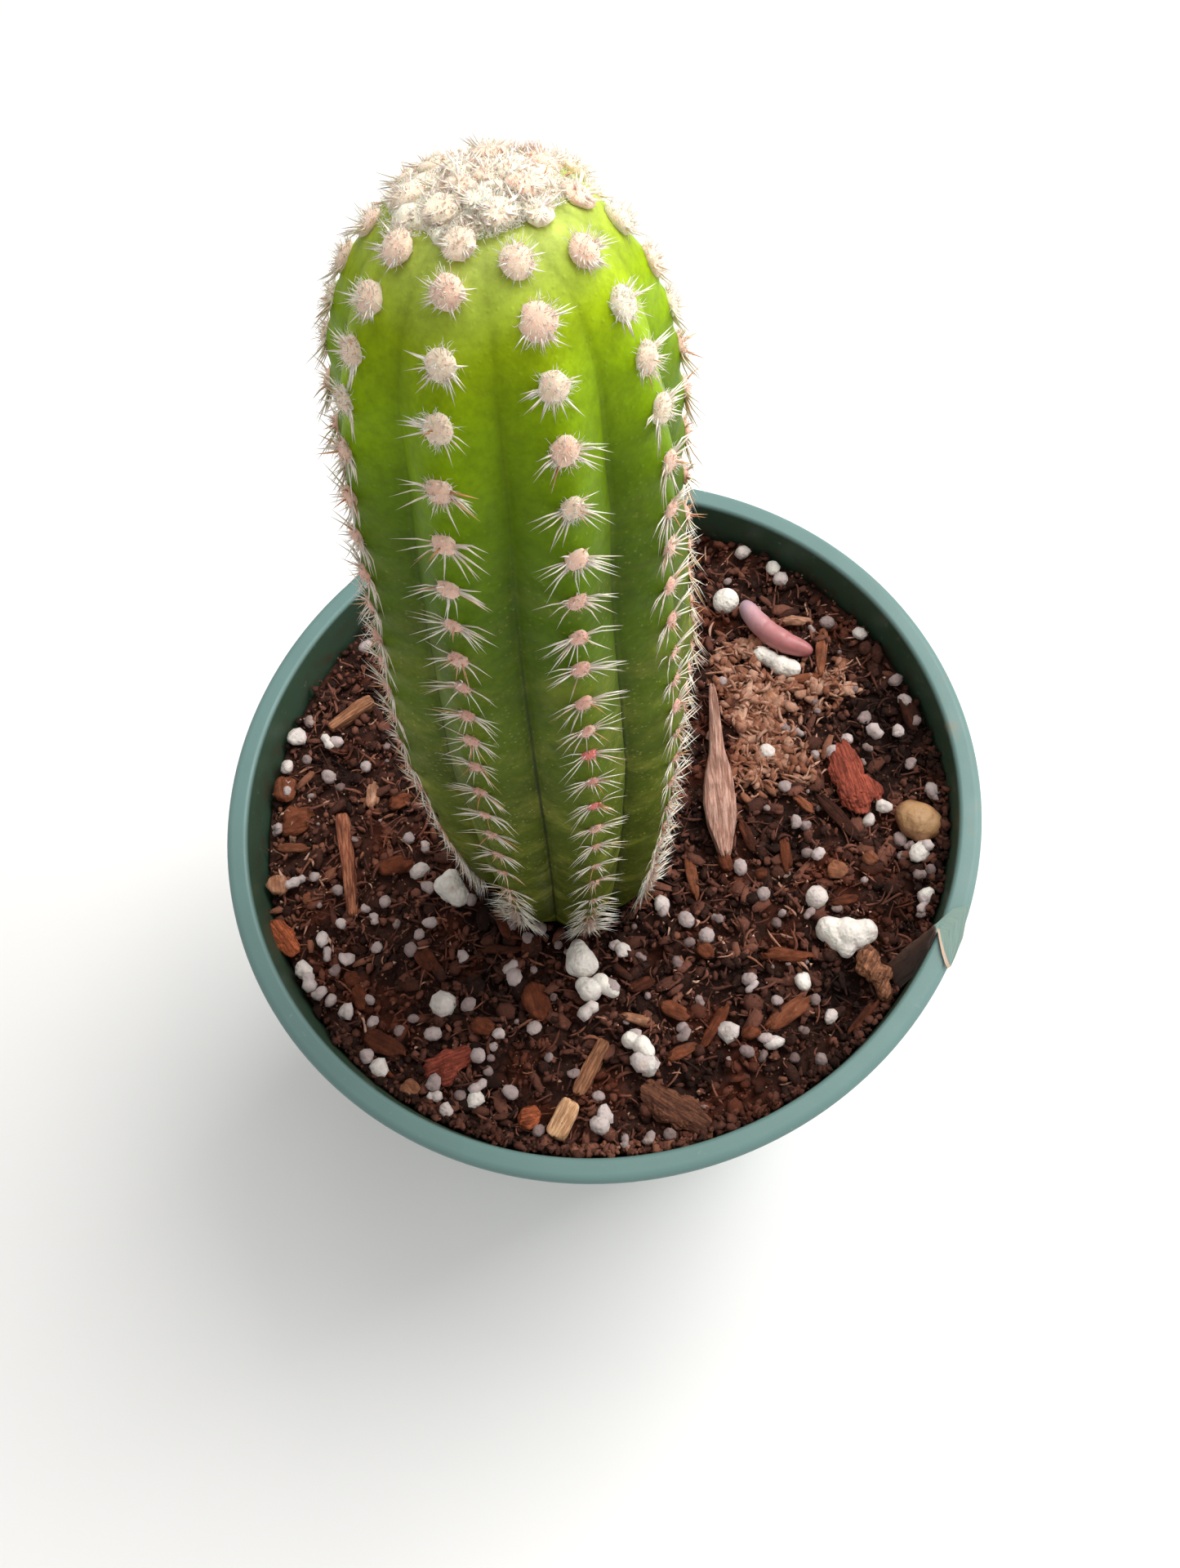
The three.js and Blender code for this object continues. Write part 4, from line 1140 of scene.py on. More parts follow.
def build_crumbs():
    """Peat crumbs and clods, bark fines and fibres over the mix."""
    mix = settings("cactus_mix")
    draw = np.random.default_rng(41)
    small = [crumb_shape(seed) for seed in range(8)]
    large = [clod_shape(20 + seed) for seed in range(6)]
    flakes = [flake_shape(40 + seed) for seed in range(6)]
    torn = [fibre_shape(60 + seed) for seed in range(8)]
    specks = [speck_shape(70 + seed) for seed in range(6)]
    near = 11.2 * MM

    x, y = open_ground(draw, mix.crumbs, 0.1 * MM, near)
    n = len(x)
    size = (0.5 + 1.05 * draw.random(n) ** 1.6) * MM
    sizes = uneven(draw, size, 0.6, 0.6, [1.4, 0.95, 0.75])
    lift = (-0.8 + 0.95 * draw.random(n)) * MM
    tones = 0.1 + 0.55 * draw.random(n) ** 1.2
    strew_soil("peat_crumbs", small, draw, x, y, sizes, lift, 0.6, tones)

    x, y = open_ground(draw, mix.grit, 0.1 * MM, near)
    n = len(x)
    size = (0.24 + 0.4 * draw.random(n) ** 2) * MM
    sizes = uneven(draw, size, 0.7, 0.6)
    lift = (-0.1 + 0.75 * draw.random(n)) * MM
    tones = np.where(draw.random(n) < 0.1, 0.8 + 0.5 * draw.random(n), 0.15 + 0.65 * draw.random(n))
    strew_soil("grit", specks, draw, x, y, sizes, lift, 0.8, tones)

    x, y = open_ground(draw, mix.clods, 0.8 * MM, near + MM)
    n = len(x)
    size = (1.1 + 1.7 * draw.random(n) ** 2) * MM
    sizes = uneven(draw, size, 0.7, 0.5, [1.25, 0.95, 0.65])
    lift = (-0.45 + 0.5 * draw.random(n)) * MM
    tones = 0.12 + 0.45 * draw.random(n) ** 1.2
    strew_soil("peat_clods", large, draw, x, y, sizes, lift, 0.5, tones)

    x, y = open_ground(draw, mix.bark_fines, 1.4 * MM, near + MM)
    n = len(x)
    long = (1.0 + 2.4 * draw.random(n) ** 2) * MM
    sizes = columns(long, long * (0.3 + 0.35 * draw.random(n)), (0.4 + 0.5 * draw.random(n)) * MM)
    lift = (-0.15 + 0.5 * draw.random(n)) * MM
    tones = 0.26 + 0.46 * draw.random(n)
    strew_soil("bark_fines", flakes, draw, x, y, sizes, lift, 0.5, tones)

    x, y = open_ground(draw, mix.fibres, 1.6 * MM, near + MM)
    n = len(x)
    long = (1.2 + 3.2 * draw.random(n) ** 1.9) * MM
    thick = (0.18 + 0.3 * draw.random(n) ** 1.5) * MM
    sizes = columns(long, thick * 1.25, thick * 0.9)
    lift = (-0.05 + 0.6 * draw.random(n)) * MM
    tones = np.where(draw.random(n) < 0.12, 0.72 + 0.28 * draw.random(n), 0.18 + 0.5 * draw.random(n))
    strew_soil("torn_fibres", torn, draw, x, y, sizes, lift, 0.22, tones)

    build_pale_patch(draw, torn, small)
    build_rim_crumbs(draw, small)


def build_pale_patch(draw, torn, small):
    """The patch of pale torn wood to the right of the stem: soft lumps with fibres over them."""
    spots = np.array([seen_on_mix(column, row) for column, row in PALE_FIBRES_SEEN])
    n, spread = 420, 1.9 * MM
    x, y = (spots[draw.integers(0, len(spots), n)] + spread * draw.standard_normal((n, 2))).T
    size = (0.7 + 1.1 * draw.random(n)) * MM
    sizes = uneven(draw, size, 0.7, 0.5, [1.7, 0.9, 0.7])
    lift = (0.1 + 0.5 * draw.random(n)) * MM
    tones = 0.75 + 0.18 * draw.random(n)
    strew_soil("pale_lumps", small, draw, x, y, sizes, lift, 0.5, tones, with_painted_shade=False)

    n, spread = 260, 1.7 * MM
    x, y = (spots[draw.integers(0, len(spots), n)] + spread * draw.standard_normal((n, 2))).T
    long = (1.2 + 2.4 * draw.random(n)) * MM
    thick = (0.25 + 0.35 * draw.random(n)) * MM
    sizes = columns(long, thick * 1.2, thick)
    lift = (0.3 + 0.6 * draw.random(n)) * MM
    tones = 0.79 + 0.15 * draw.random(n)
    strew_soil("pale_fibres", torn, draw, x, y, sizes, lift, 0.3, tones, with_painted_shade=False)


def build_rim_crumbs(draw, small):
    """Crumbs that lie against the pot's wall in front, a little above the rest."""
    n, wall_radius, tan_bearing = 1500, 47.15, -99
    bearing = np.radians(-4 - 148 * draw.random(n))
    from_wall = 1.5 * draw.random(n) ** 1.3
    radius = (wall_radius - from_wall) * MM
    x, y = radius * np.cos(bearing), radius * np.sin(bearing)
    size = (0.4 + 0.8 * draw.random(n) ** 2) * MM
    sizes = uneven(draw, size, 0.6, 0.7, [1.5, 1, 0.7])
    lift = draw.random(n) * (1.9 - 1.1 * from_wall) * MM
    tan = np.exp(-(((np.degrees(bearing) - tan_bearing) / 9) ** 2))
    tones = 0.12 + 0.4 * draw.random(n) + tan * (0.2 + 0.3 * draw.random(n))
    strew_soil("rim_crumbs", small, draw, x, y, sizes, lift, 0.5, tones, with_painted_shade=False)


# Pixels inside the patch of pale torn wood to the right of the stem
PALE_FIBRES_SEEN = [
    (898, 842), (915, 862), (932, 884), (920, 905), (938, 930), (915, 950), (948, 846), (958, 905),
    (1016, 838), (905, 800), (975, 935), (935, 860),
]

# Bark bits that can be told apart: the pixels of both ends, the width in millimetres and the tone
BARK_SEEN = [
    (306, 1082, 322, 1104, 2.6, 0.8), (326, 950, 350, 982, 3.0, 0.55), (345, 1008, 380, 1000, 4.4, 0.52),
    (338, 1041, 379, 1039, 1.3, 0.6), (455, 958, 457, 987, 1.8, 0.84), (476, 986, 502, 974, 2.0, 0.5),
    (462, 1068, 502, 1052, 2.6, 0.42), (370, 1101, 386, 1098, 1.6, 0.62), (650, 1202, 664, 1250, 3.2, 0.42),
    (610, 1108, 622, 1150, 1.5, 0.34), (588, 1161, 640, 1163, 1.2, 0.26), (808, 1232, 843, 1243, 1.9, 0.52),
    (860, 1284, 888, 1230, 1.5, 0.42), (818, 1296, 852, 1280, 1.5, 0.54), (763, 1244, 802, 1254, 1.3, 0.78),
    (578, 1252, 606, 1262, 2.2, 0.4), (448, 1266, 494, 1292, 2.4, 0.34), (492, 1330, 502, 1356, 2.2, 0.72),
    (456, 1336, 470, 1328, 1.6, 0.42), (420, 1202, 440, 1194, 2.2, 0.36), (434, 1208, 448, 1234, 1.8, 0.42),
    (512, 1164, 534, 1188, 2.2, 0.34), (958, 1022, 966, 1066, 1.4, 0.4), (926, 1072, 938, 1070, 1.7, 0.38),
    (1014, 1060, 1038, 1070, 2.3, 0.68), (1058, 1048, 1072, 1058, 2.0, 0.62),
    (936, 1166, 992, 1173, 1.7, 0.46), (940, 1262, 990, 1220, 2.2, 0.56), (912, 1272, 926, 1258, 1.9, 0.46),
    (856, 1158, 872, 1172, 1.8, 0.5), (1058, 1282, 1090, 1240, 1.1, 0.3),
    (1018, 1106, 1052, 1098, 1.3, 0.34), (1009, 768, 1003, 826, 1.5, 0.6), (962, 834, 1006, 826, 1.3, 0.56),
    (950, 756, 990, 763, 1.6, 0.84), (918, 838, 906, 892, 1.2, 0.96), (970, 974, 996, 993, 1.2, 0.6),
    (1001, 972, 1056, 1032, 1.6, 0.16), (1106, 848, 1132, 890, 2.2, 0.2), (932, 842, 954, 870, 2.4, 0.82),
    (842, 1036, 852, 1098, 1.4, 0.6), (884, 1046, 893, 1068, 1.6, 0.44), (700, 1098, 716, 1100, 1.0, 0.3),
    (770, 1212, 800, 1196, 1.6, 0.3), (905, 1005, 925, 1040, 1.4, 0.28),
]

# Perlite grains that can be told apart: their pixel and their size in millimetres
GRAINS_SEEN = [
    (722, 1238, 3.2), (782, 1300, 2.8), (796, 1306, 2.6), (525, 1088, 2.0), (1132, 1036, 2.4),
    (1136, 1098, 2.6), (914, 669, 2.2), (952, 689, 2.8), (957, 709, 2.6), (1013, 762, 2.1), (1062, 770, 2.2),
    (1099, 833, 2.0), (1136, 848, 2.2), (1151, 876, 1.8), (884, 834, 1.9), (962, 894, 1.7), (978, 898, 1.7),
    (938, 921, 2.4), (961, 964, 2.1), (998, 926, 1.7), (1019, 921, 2.0), (1038, 903, 2.0), (1058, 878, 2.0),
    (1071, 897, 2.7), (1099, 896, 2.2), (1115, 936, 1.8), (1081, 990, 2.5), (1064, 1004, 2.2),
    (1143, 967, 2.0), (1156, 975, 2.1), (1163, 959, 1.4), (974, 1009, 2.0), (986, 1011, 1.8),
    (1103, 1026, 2.0), (1113, 1034, 1.8), (1126, 1044, 2.7), (1105, 1046, 1.5), (988, 1044, 1.6),
    (1001, 1047, 2.0), (907, 1063, 2.3), (934, 1096, 1.9), (1126, 1073, 1.9), (1141, 1064, 1.5),
    (1000, 1100, 3.2), (990, 1120, 1.7), (958, 1118, 1.6), (951, 1129, 1.5), (878, 1123, 1.9),
    (841, 1126, 2.2), (865, 1146, 2.2), (830, 1178, 1.6), (752, 1156, 2.0), (762, 1164, 2.5),
    (810, 1106, 2.4), (812, 1114, 2.0), (917, 1198, 2.2), (920, 1209, 2.0), (983, 1201, 3.0),
    (951, 1226, 1.5), (998, 1225, 1.7), (1018, 1244, 2.3), (984, 1262, 1.7), (892, 1264, 3.3),
    (938, 1270, 2.4), (947, 1276, 2.4), (915, 1289, 1.7), (934, 1294, 1.6), (973, 1296, 1.5),
    (1016, 1309, 1.8), (1148, 1106, 2.2), (1151, 1118, 2.0), (1138, 1122, 1.6), (515, 1067, 2.8),
    (577, 1102, 2.2), (448, 1113, 1.7), (457, 1125, 1.9), (486, 1131, 1.6), (527, 1129, 2.2),
    (513, 1144, 1.7), (461, 1160, 2.1), (503, 1163, 2.0), (566, 1171, 2.1), (626, 1131, 1.7),
    (647, 1148, 1.9), (661, 1136, 2.0), (626, 1184, 2.2), (629, 1196, 2.3), (544, 1229, 3.3),
    (574, 1231, 2.2), (505, 1246, 1.5), (457, 1251, 1.9), (490, 1262, 1.7), (531, 1266, 2.1),
    (655, 1259, 2.1), (612, 1267, 2.1), (604, 1282, 1.3), (586, 1293, 2.1), (601, 1296, 1.2),
    (597, 1311, 1.9), (445, 1301, 2.5), (465, 1309, 2.6), (531, 1327, 2.2), (532, 1342, 2.3),
    (586, 1330, 2.3), (583, 1346, 2.4), (563, 1341, 1.8), (544, 1367, 2.3), (778, 1271, 2.6),
    (786, 1281, 2.8), (790, 1303, 3.0), (799, 1300, 1.8), (836, 1258, 2.0), (837, 1268, 2.1),
    (857, 1226, 1.7), (749, 1211, 2.3), (733, 1342, 1.6), (742, 1365, 2.4), (736, 1379, 2.6),
    (659, 1385, 1.6), (702, 1315, 1.7), (626, 1339, 1.9), (765, 1400, 1.8), (795, 1398, 1.8),
    (821, 1395, 1.6), (672, 1295, 1.2), (369, 1190, 3.0), (380, 1204, 2.8), (391, 1217, 2.2),
    (404, 1224, 1.8), (401, 1170, 2.1), (424, 1174, 2.3), (409, 1188, 1.7), (395, 1150, 2.4),
    (426, 1241, 2.6), (453, 1225, 1.6), (364, 903, 3.6), (401, 907, 2.6), (411, 907, 2.4), (348, 940, 2.6),
    (355, 966, 2.5), (404, 953, 2.4), (376, 930, 1.7), (379, 883, 1.8), (448, 793, 2.2), (448, 938, 1.8),
    (322, 1014, 1.8), (501, 1026, 2.0), (520, 1035, 2.1), (359, 1083, 2.5), (367, 1079, 2.0),
    (384, 1072, 1.7), (415, 1091, 1.8), (420, 1133, 2.0), (471, 1103, 1.9), (308, 1020, 1.7),
]


# The larger a grain, the whiter: tones at some sizes
GRAIN_SIZES = np.array([0.6, 1.6, 1.8, 2.0, 2.4, 3.0]) * MM
GRAIN_TONES = np.array([0.16, 0.18, 0.26, 0.34, 0.46, 0.6])


def grain_shape(lobes, seed):
    """A perlite grain about one unit across: lobes grown together, as (x, y, z, radius)."""
    grain = new_primitive(bpy.ops.mesh.primitive_uv_sphere_add, "grain", segments=9, ring_count=8, radius=1)
    points = grown_together(unit(coordinates(grain)), lobes)
    points += 0.09 * rough(points, 3 + 0.1 * seed, 3)[:, None] * unit(points)
    move_points(grain, points)
    return shape_of(grain)


def grown_together(directions, lobes):
    """The outline of overlapping balls seen from the middle, along each direction."""
    reach = np.full(len(directions), 0.1 * max(radius for _, _, _, radius in lobes))
    for x, y, z, radius in lobes:
        ahead = directions @ np.array([x, y, z])
        beside = radius**2 - (x * x + y * y + z * z) + ahead**2
        reach = np.maximum(reach, np.where(beside > 0, ahead + np.sqrt(np.maximum(beside, 0)), 0))
    return directions * reach[:, None]


GRAIN_LOBES = [
    [(0, 0, 0, 0.5)],
    [(0.06, 0, 0, 0.46), (-0.12, 0.1, 0.05, 0.4)],
    [(-0.2, 0, 0, 0.34), (0.2, 0.05, 0, 0.32)],
    [(-0.16, -0.08, 0, 0.34), (0.2, -0.05, 0.02, 0.3), (0.0, 0.2, 0.05, 0.3)],
    [(0, 0, 0, 0.42), (0.1, -0.14, 0.05, 0.34), (-0.14, 0.02, 0.12, 0.3)],
]


def build_grains():
    """Perlite grains: those that can be told apart in their places, and others between them."""
    mix = settings("cactus_mix")
    draw = np.random.default_rng(17)
    shapes = [grain_shape(lobes, seed) for seed, lobes in enumerate(GRAIN_LOBES)]
    seen = np.array([(*seen_on_mix(column, row), size * MM) for column, row, size in GRAINS_SEEN])
    from_wall, near_stem, apart = 1.4 * MM, 13 * MM, 2.4 * MM
    x, y = open_ground(draw, 6 * mix.grains, from_wall, near_stem)
    nearest = np.hypot(x[:, None] - seen[:, 0], y[:, None] - seen[:, 1]).min(1)
    free = np.nonzero(nearest > apart)[0][: mix.grains]
    more = columns(x[free], y[free], (0.6 + 0.9 * draw.random(len(free)) ** 1.4) * MM)
    grains = np.concatenate([seen, more])
    n = len(grains)
    size = grains[:, 2]
    z = mix_height(grains[:, 0], grains[:, 1]) + 0.16 * size + 0.2 * MM
    places = columns(grains[:, 0], grains[:, 1], z)
    sizes = uneven(draw, size, 0.8, 0.36, [1.06, 0.96, 0.86])
    turns = random_turns(draw, n, 0.5)
    tones = np.interp(size, GRAIN_SIZES, GRAIN_TONES) + 0.28 * (draw.random(n) - 0.5)
    kinds = draw.integers(0, len(shapes), n)
    piece = strewn("perlite_grains", shapes, kinds, places, sizes, turns, tones)
    finish_piece(piece, bpy.data.materials["perlite_chalk"], "perlite")


def build_seen_bark():
    """The bark bits that can be told apart, each in its place."""
    draw = np.random.default_rng(23)
    chips = [chip_shape(80 + seed) for seed in range(8)]
    ends = np.array([(*seen_on_mix(a, b), *seen_on_mix(c, d)) for a, b, c, d, _, _ in BARK_SEEN])
    middle = (ends[:, :2] + ends[:, 2:]) / 2
    along = ends[:, 2:] - ends[:, :2]
    long = np.hypot(along[:, 0], along[:, 1])
    wide = np.array([row[4] for row in BARK_SEEN]) * MM
    thick = np.minimum(0.6 * wide, 1.5 * MM)
    lift = mix_height(middle[:, 0], middle[:, 1]) + 0.45 * MM
    places = np.column_stack([middle, lift])
    n = len(places)
    bearings = np.arctan2(along[:, 1], along[:, 0])
    turns = turning(bearings, 0.08 * draw.standard_normal(n), TURN * draw.random(n))
    sizes = columns(np.maximum(long, wide) * 1.1, np.minimum(long, wide) * 1.1, thick)
    tones = np.array([row[5] for row in BARK_SEEN])
    piece = strewn("bark_bits", chips, np.arange(n) % len(chips), places, sizes, turns, tones)
    finish_piece(piece, chip_bark(), "soil")


# Stem, wool and spines


def build_stem():
    """The stem: nine ribs that swell under each areole, with a line in each furrow and a corky foot."""
    stem = settings("cactus_stem")
    stations = [areole_stations(rib) for rib in range(stem.ribs)]
    bottom = -9 * MM

    def place(u, v):
        s = bottom + (stem.height - bottom) * (1 - (1 - v) ** 1.25 * (1 - 0.1 * v))
        angle = crest_angle(0, s) + u * TURN
        off, rib = off_crest(s, angle)
        middle, across, away = stem_frame(s)
        radius = crest_radius(s) - furrow_depth(s, off)
        beside = off * TURN / stem.ribs / 2 * radius
        gap = np.empty_like(s)
        for k in range(stem.ribs):
            mine = rib == k
            gap[mine] = np.abs(s[mine, None] - stations[k]).min(1)
        swelling = 0.42 * MM * np.exp(-((gap / (1.5 * MM)) ** 2) - (beside / (1.7 * MM)) ** 2)
        groove = 0.26 * MM * smoothstep(0.9, 1.0, off) * smoothstep(4 * MM, 20 * MM, s)
        groove *= 1 - smoothstep(66 * MM, 88 * MM, s)
        on_body = smoothstep(0, 6 * MM, s) * (1 - smoothstep(stem.height - 9 * MM, stem.height, s))
        ring = across * np.cos(angle)[:, None] + away * np.sin(angle)[:, None]
        wobble = rough(middle + ring * radius[:, None], 95, 3) * 0.22 * MM
        radius = np.maximum(radius + (swelling - groove + wobble) * on_body, 0)
        radius = np.where(v <= 0, 0, radius)
        return middle + radius[:, None] * ring, {"rise": s / stem.height, "furrow": off}

    body = wrapped_grid("stem", 9 * 24, 250, place)
    finish_piece(body, stem_skin(), "cactus", "cactus")


def in_frame(frames, local):
    """Turns local directions (side, up, out) of each areole into the object's own."""
    _, _, _, side, up, out = frames
    return side * local[:, :1] + up * local[:, 1:2] + out * local[:, 2:]


# The rib and height of the two areoles with red felt
RED_AREOLES = ((0, 68.5 * MM), (0, 59.9 * MM))

# Radius of the felt pads at some heights on the stem
PAD_AT = np.array([0, 35, 60, 75, 88, 98, 106, 113]) * MM
PAD_RADIUS = np.array([0.52, 0.6, 0.68, 0.74, 0.8, 0.94, 1.06, 1.12]) * MM

# The woolly mat over the tip: its reach on each side as a share of the dome's radius, the number of young
# areoles in it, and the bearing and reach of its top tuft
CROWN_BEARINGS = np.radians([0, 60, 90, 120, 150, 180, 210, 240, 270, 300, 330, 360])
CROWN_REACH = np.array([0.42, 0.44, 0.5, 0.56, 0.54, 0.46, 0.34, 0.3, 0.28, 0.26, 0.29, 0.42])
CROWN_TUFTS = 46
TOP_TUFT = (math.radians(50), 0.46)
TOP_TUFT_HAIRS = 260
SPINES_PER_TUFT = 3


def wool_tones(ribs, s, draw):
    """Tone of each areole's felt: cream in the crown, pinkish below, and two that are red."""
    tone = 0.13 + 0.16 * draw.random(len(s)) + 0.68 * smoothstep(66 * MM, 108 * MM, s)
    for rib, height in RED_AREOLES:
        own = np.nonzero(ribs == rib)[0]
        tone[own[np.argmin(np.abs(s[own] - height))]] = 0.02
    return tone


def crown_frames():
    """The young areoles that crowd the tip, in the same form as those on the ribs, on a spiral."""
    share = (np.arange(CROWN_TUFTS) + 0.5) / CROWN_TUFTS
    angle = np.arange(CROWN_TUFTS) * math.pi * (3 - math.sqrt(5))
    s = dome_height(0.93 * crown_reach(angle) * share**0.5)
    here = stem_surface(s, angle)
    out = crown_outward(here)
    side = unit(np.cross(tip_frame()[3], out) + 1e-6)
    return np.full(CROWN_TUFTS, -1), s, here, side, np.cross(out, side), out


def in_mat(ribs, s):
    """1 for the areoles inside the woolly mat, 0 for those well clear of it."""
    stem = settings("cactus_stem")
    up = np.clip((s - stem.height + stem.dome) / stem.dome, 0, 1)
    share = (1 - up**DOME_POWER) ** (1 / DOME_POWER)
    angle = np.array([float(crest_angle(rib, height)) for rib, height in zip(ribs, s)])
    return smoothstep(1.3, 1.0, share / crown_reach(angle))


def crown_thinness(angle, share):
    """How the woolly mat gets thinner down the far side of the dome."""
    return 1 - 0.55 * np.clip(np.sin(angle), 0, 1) * smoothstep(0.1, 0.35, share)


def crown_reach(angle):
    """How far down the dome the woolly mat reaches on each side, as a share of the dome's radius."""
    return np.interp(angle % TURN, CROWN_BEARINGS, CROWN_REACH)


def dome_height(share):
    """Height on the stem where the dome has this share of the radius at its foot."""
    stem = settings("cactus_stem")
    return stem.height - stem.dome + stem.dome * (1 - share**DOME_POWER) ** (1 / DOME_POWER)


def crown_outward(points):
    """The way out of the dome at each point."""
    tip, _, _, ahead = tip_frame()
    middle = tip - ahead * 11 * MM
    return unit(points - middle)


def hairs_on(name, roots, ahead, lengths, tones, draw, felt):
    """Fine hairs from roots, each bent a little."""
    n = len(roots)
    bows = 0.14 * lengths[:, None] * draw.standard_normal((n, 3))
    hairs = needles(name, roots, roots + ahead * lengths[:, None], np.full(n, 0.06 * MM), bows, tones)
    finish_piece(hairs, felt, "cactus")


def pad_shape(seed):
    """A lumpy cushion about one unit across."""
    pad = new_primitive(bpy.ops.mesh.primitive_uv_sphere_add, "pad", segments=12, ring_count=8, radius=0.5)
    points = coordinates(pad)
    move_points(pad, points * (1 + 0.16 * rough(points + seed, 3.4, 3))[:, None])
    return shape_of(pad)


def build_wool():
    """Felt cushions on the areoles, flatter in the woolly mat, with fine hairs standing out of them."""
    a = settings("cactus_areoles")
    draw = np.random.default_rng(5)
    ribs, s, here, side, up, out = areole_frames()
    pads = [pad_shape(100 + seed) for seed in range(5)]
    radius = np.interp(s, PAD_AT, PAD_RADIUS) * (0.9 + 0.2 * draw.random(len(s)))
    tones = wool_tones(ribs, s, draw)
    matted = in_mat(ribs, s)
    sizes = columns(radius * 2, radius * 2.1, radius * (1.1 - 0.4 * matted))
    turns = columns(side, up, out)
    places = here + out * (0.12 * radius + (0.16 - 0.12 * matted) * MM)[:, None]
    kinds = draw.integers(0, len(pads), len(places))
    felt = felt_wool()
    finish_piece(strewn("felt_pads", pads, kinds, places, sizes, turns, tones), felt, "cactus")

    counts = a.hairs + np.where(s > 98 * MM, 44, 0) + np.where(s < 20 * MM, 40, 0)
    which = np.repeat(np.arange(len(places)), counts)
    n = len(which)
    polar = np.arccos(1 - 0.92 * draw.random(n))
    around = TURN * draw.random(n)
    local = columns(np.sin(polar) * np.cos(around), np.sin(polar) * np.sin(around), np.cos(polar))
    on_pad = np.einsum("nij,nj->ni", turns[which], local * sizes[which] / 2 * 0.9)
    ahead = unit(np.einsum("nij,nj->ni", turns[which], local) + 0.4 * draw.standard_normal((n, 3)))
    height = s[which]
    longer = 1 + 0.9 * smoothstep(84 * MM, 106 * MM, height)
    longer += 1.6 * (1 - smoothstep(12 * MM, 26 * MM, height))
    longer *= 1 - 0.5 * matted[which]
    lengths = (0.2 + 0.36 * draw.random(n)) * MM * longer
    hair_tones = np.clip(tones[which] + 0.12 + 0.14 * draw.standard_normal(n), 0, 1)
    hair_tones = np.where(tones[which] < 0.05, tones[which], hair_tones)
    hairs_on("pad_hairs", places[which] + on_pad, ahead, lengths, hair_tones, draw, felt)


def build_crown():
    """The woolly mat over the tip: a lumpy felt cap, closed underneath, and the hairs standing out of it."""
    a = settings("cactus_areoles")
    draw = np.random.default_rng(6)
    felt = bpy.data.materials["felt_wool"]
    under_part = 0.12

    def place(u, v):
        angle = u * TURN
        ragged = 1 + 0.2 * soft_noise(2.2 * np.cos(angle), 2.2 * np.sin(angle), 5)
        on_top = np.clip((v - under_part) / (1 - under_part), 0, 1)
        out_share = np.where(v < under_part, v / under_part, 1 - on_top) * crown_reach(angle) * ragged
        skin = stem_surface(dome_height(np.clip(out_share, 0, 1)), angle)
        lumps = rough(skin, 620, 3)
        tufts = cell_distance(skin, 520)
        lift = (0.16 + 0.3 * smoothstep(0.6, 0.0, tufts) + 0.1 * lumps) * smoothstep(0, 0.12, on_top)
        lift *= crown_thinness(angle, out_share)
        lift = np.where(v < under_part, -0.7, lift - 0.2 * (1 - smoothstep(0, 0.05, on_top)))
        tone = 0.95 + 0.05 * smoothstep(0.6, 0.0, tufts)
        return skin + crown_outward(skin) * lift[:, None] * MM, {"tone": tone}

    finish_piece(wrapped_grid("crown_felt", 120, 60, place), felt, "cactus")

    n, top = a.crown_hairs, TOP_TUFT_HAIRS
    angle = TURN * draw.random(n)
    share = crown_reach(angle) * 1.06 * np.sqrt(draw.random(n))
    angle = np.concatenate([angle, TOP_TUFT[0] + 0.13 * draw.standard_normal(top)])
    share = np.concatenate([share, TOP_TUFT[1] + 0.03 * draw.standard_normal(top)])
    roots = stem_surface(dome_height(share), angle)
    out = crown_outward(roots)
    ahead = unit(out + 0.8 * draw.standard_normal((n + top, 3)))
    thinness = crown_thinness(angle, share)
    on_mat = np.arange(n + top) < n
    lengths = (0.2 + 0.3 * draw.random(n + top)) * MM * thinness * np.where(on_mat, 1, 4.4)
    lift = np.where(on_mat, 0.24, 0.3) * MM * thinness
    tones = np.where(on_mat, 0.94 + 0.06 * draw.random(n + top), 0.5 + 0.3 * draw.random(n + top))
    hairs_on("crown_hairs", roots + out * lift[:, None], ahead, lengths, tones, draw, felt)


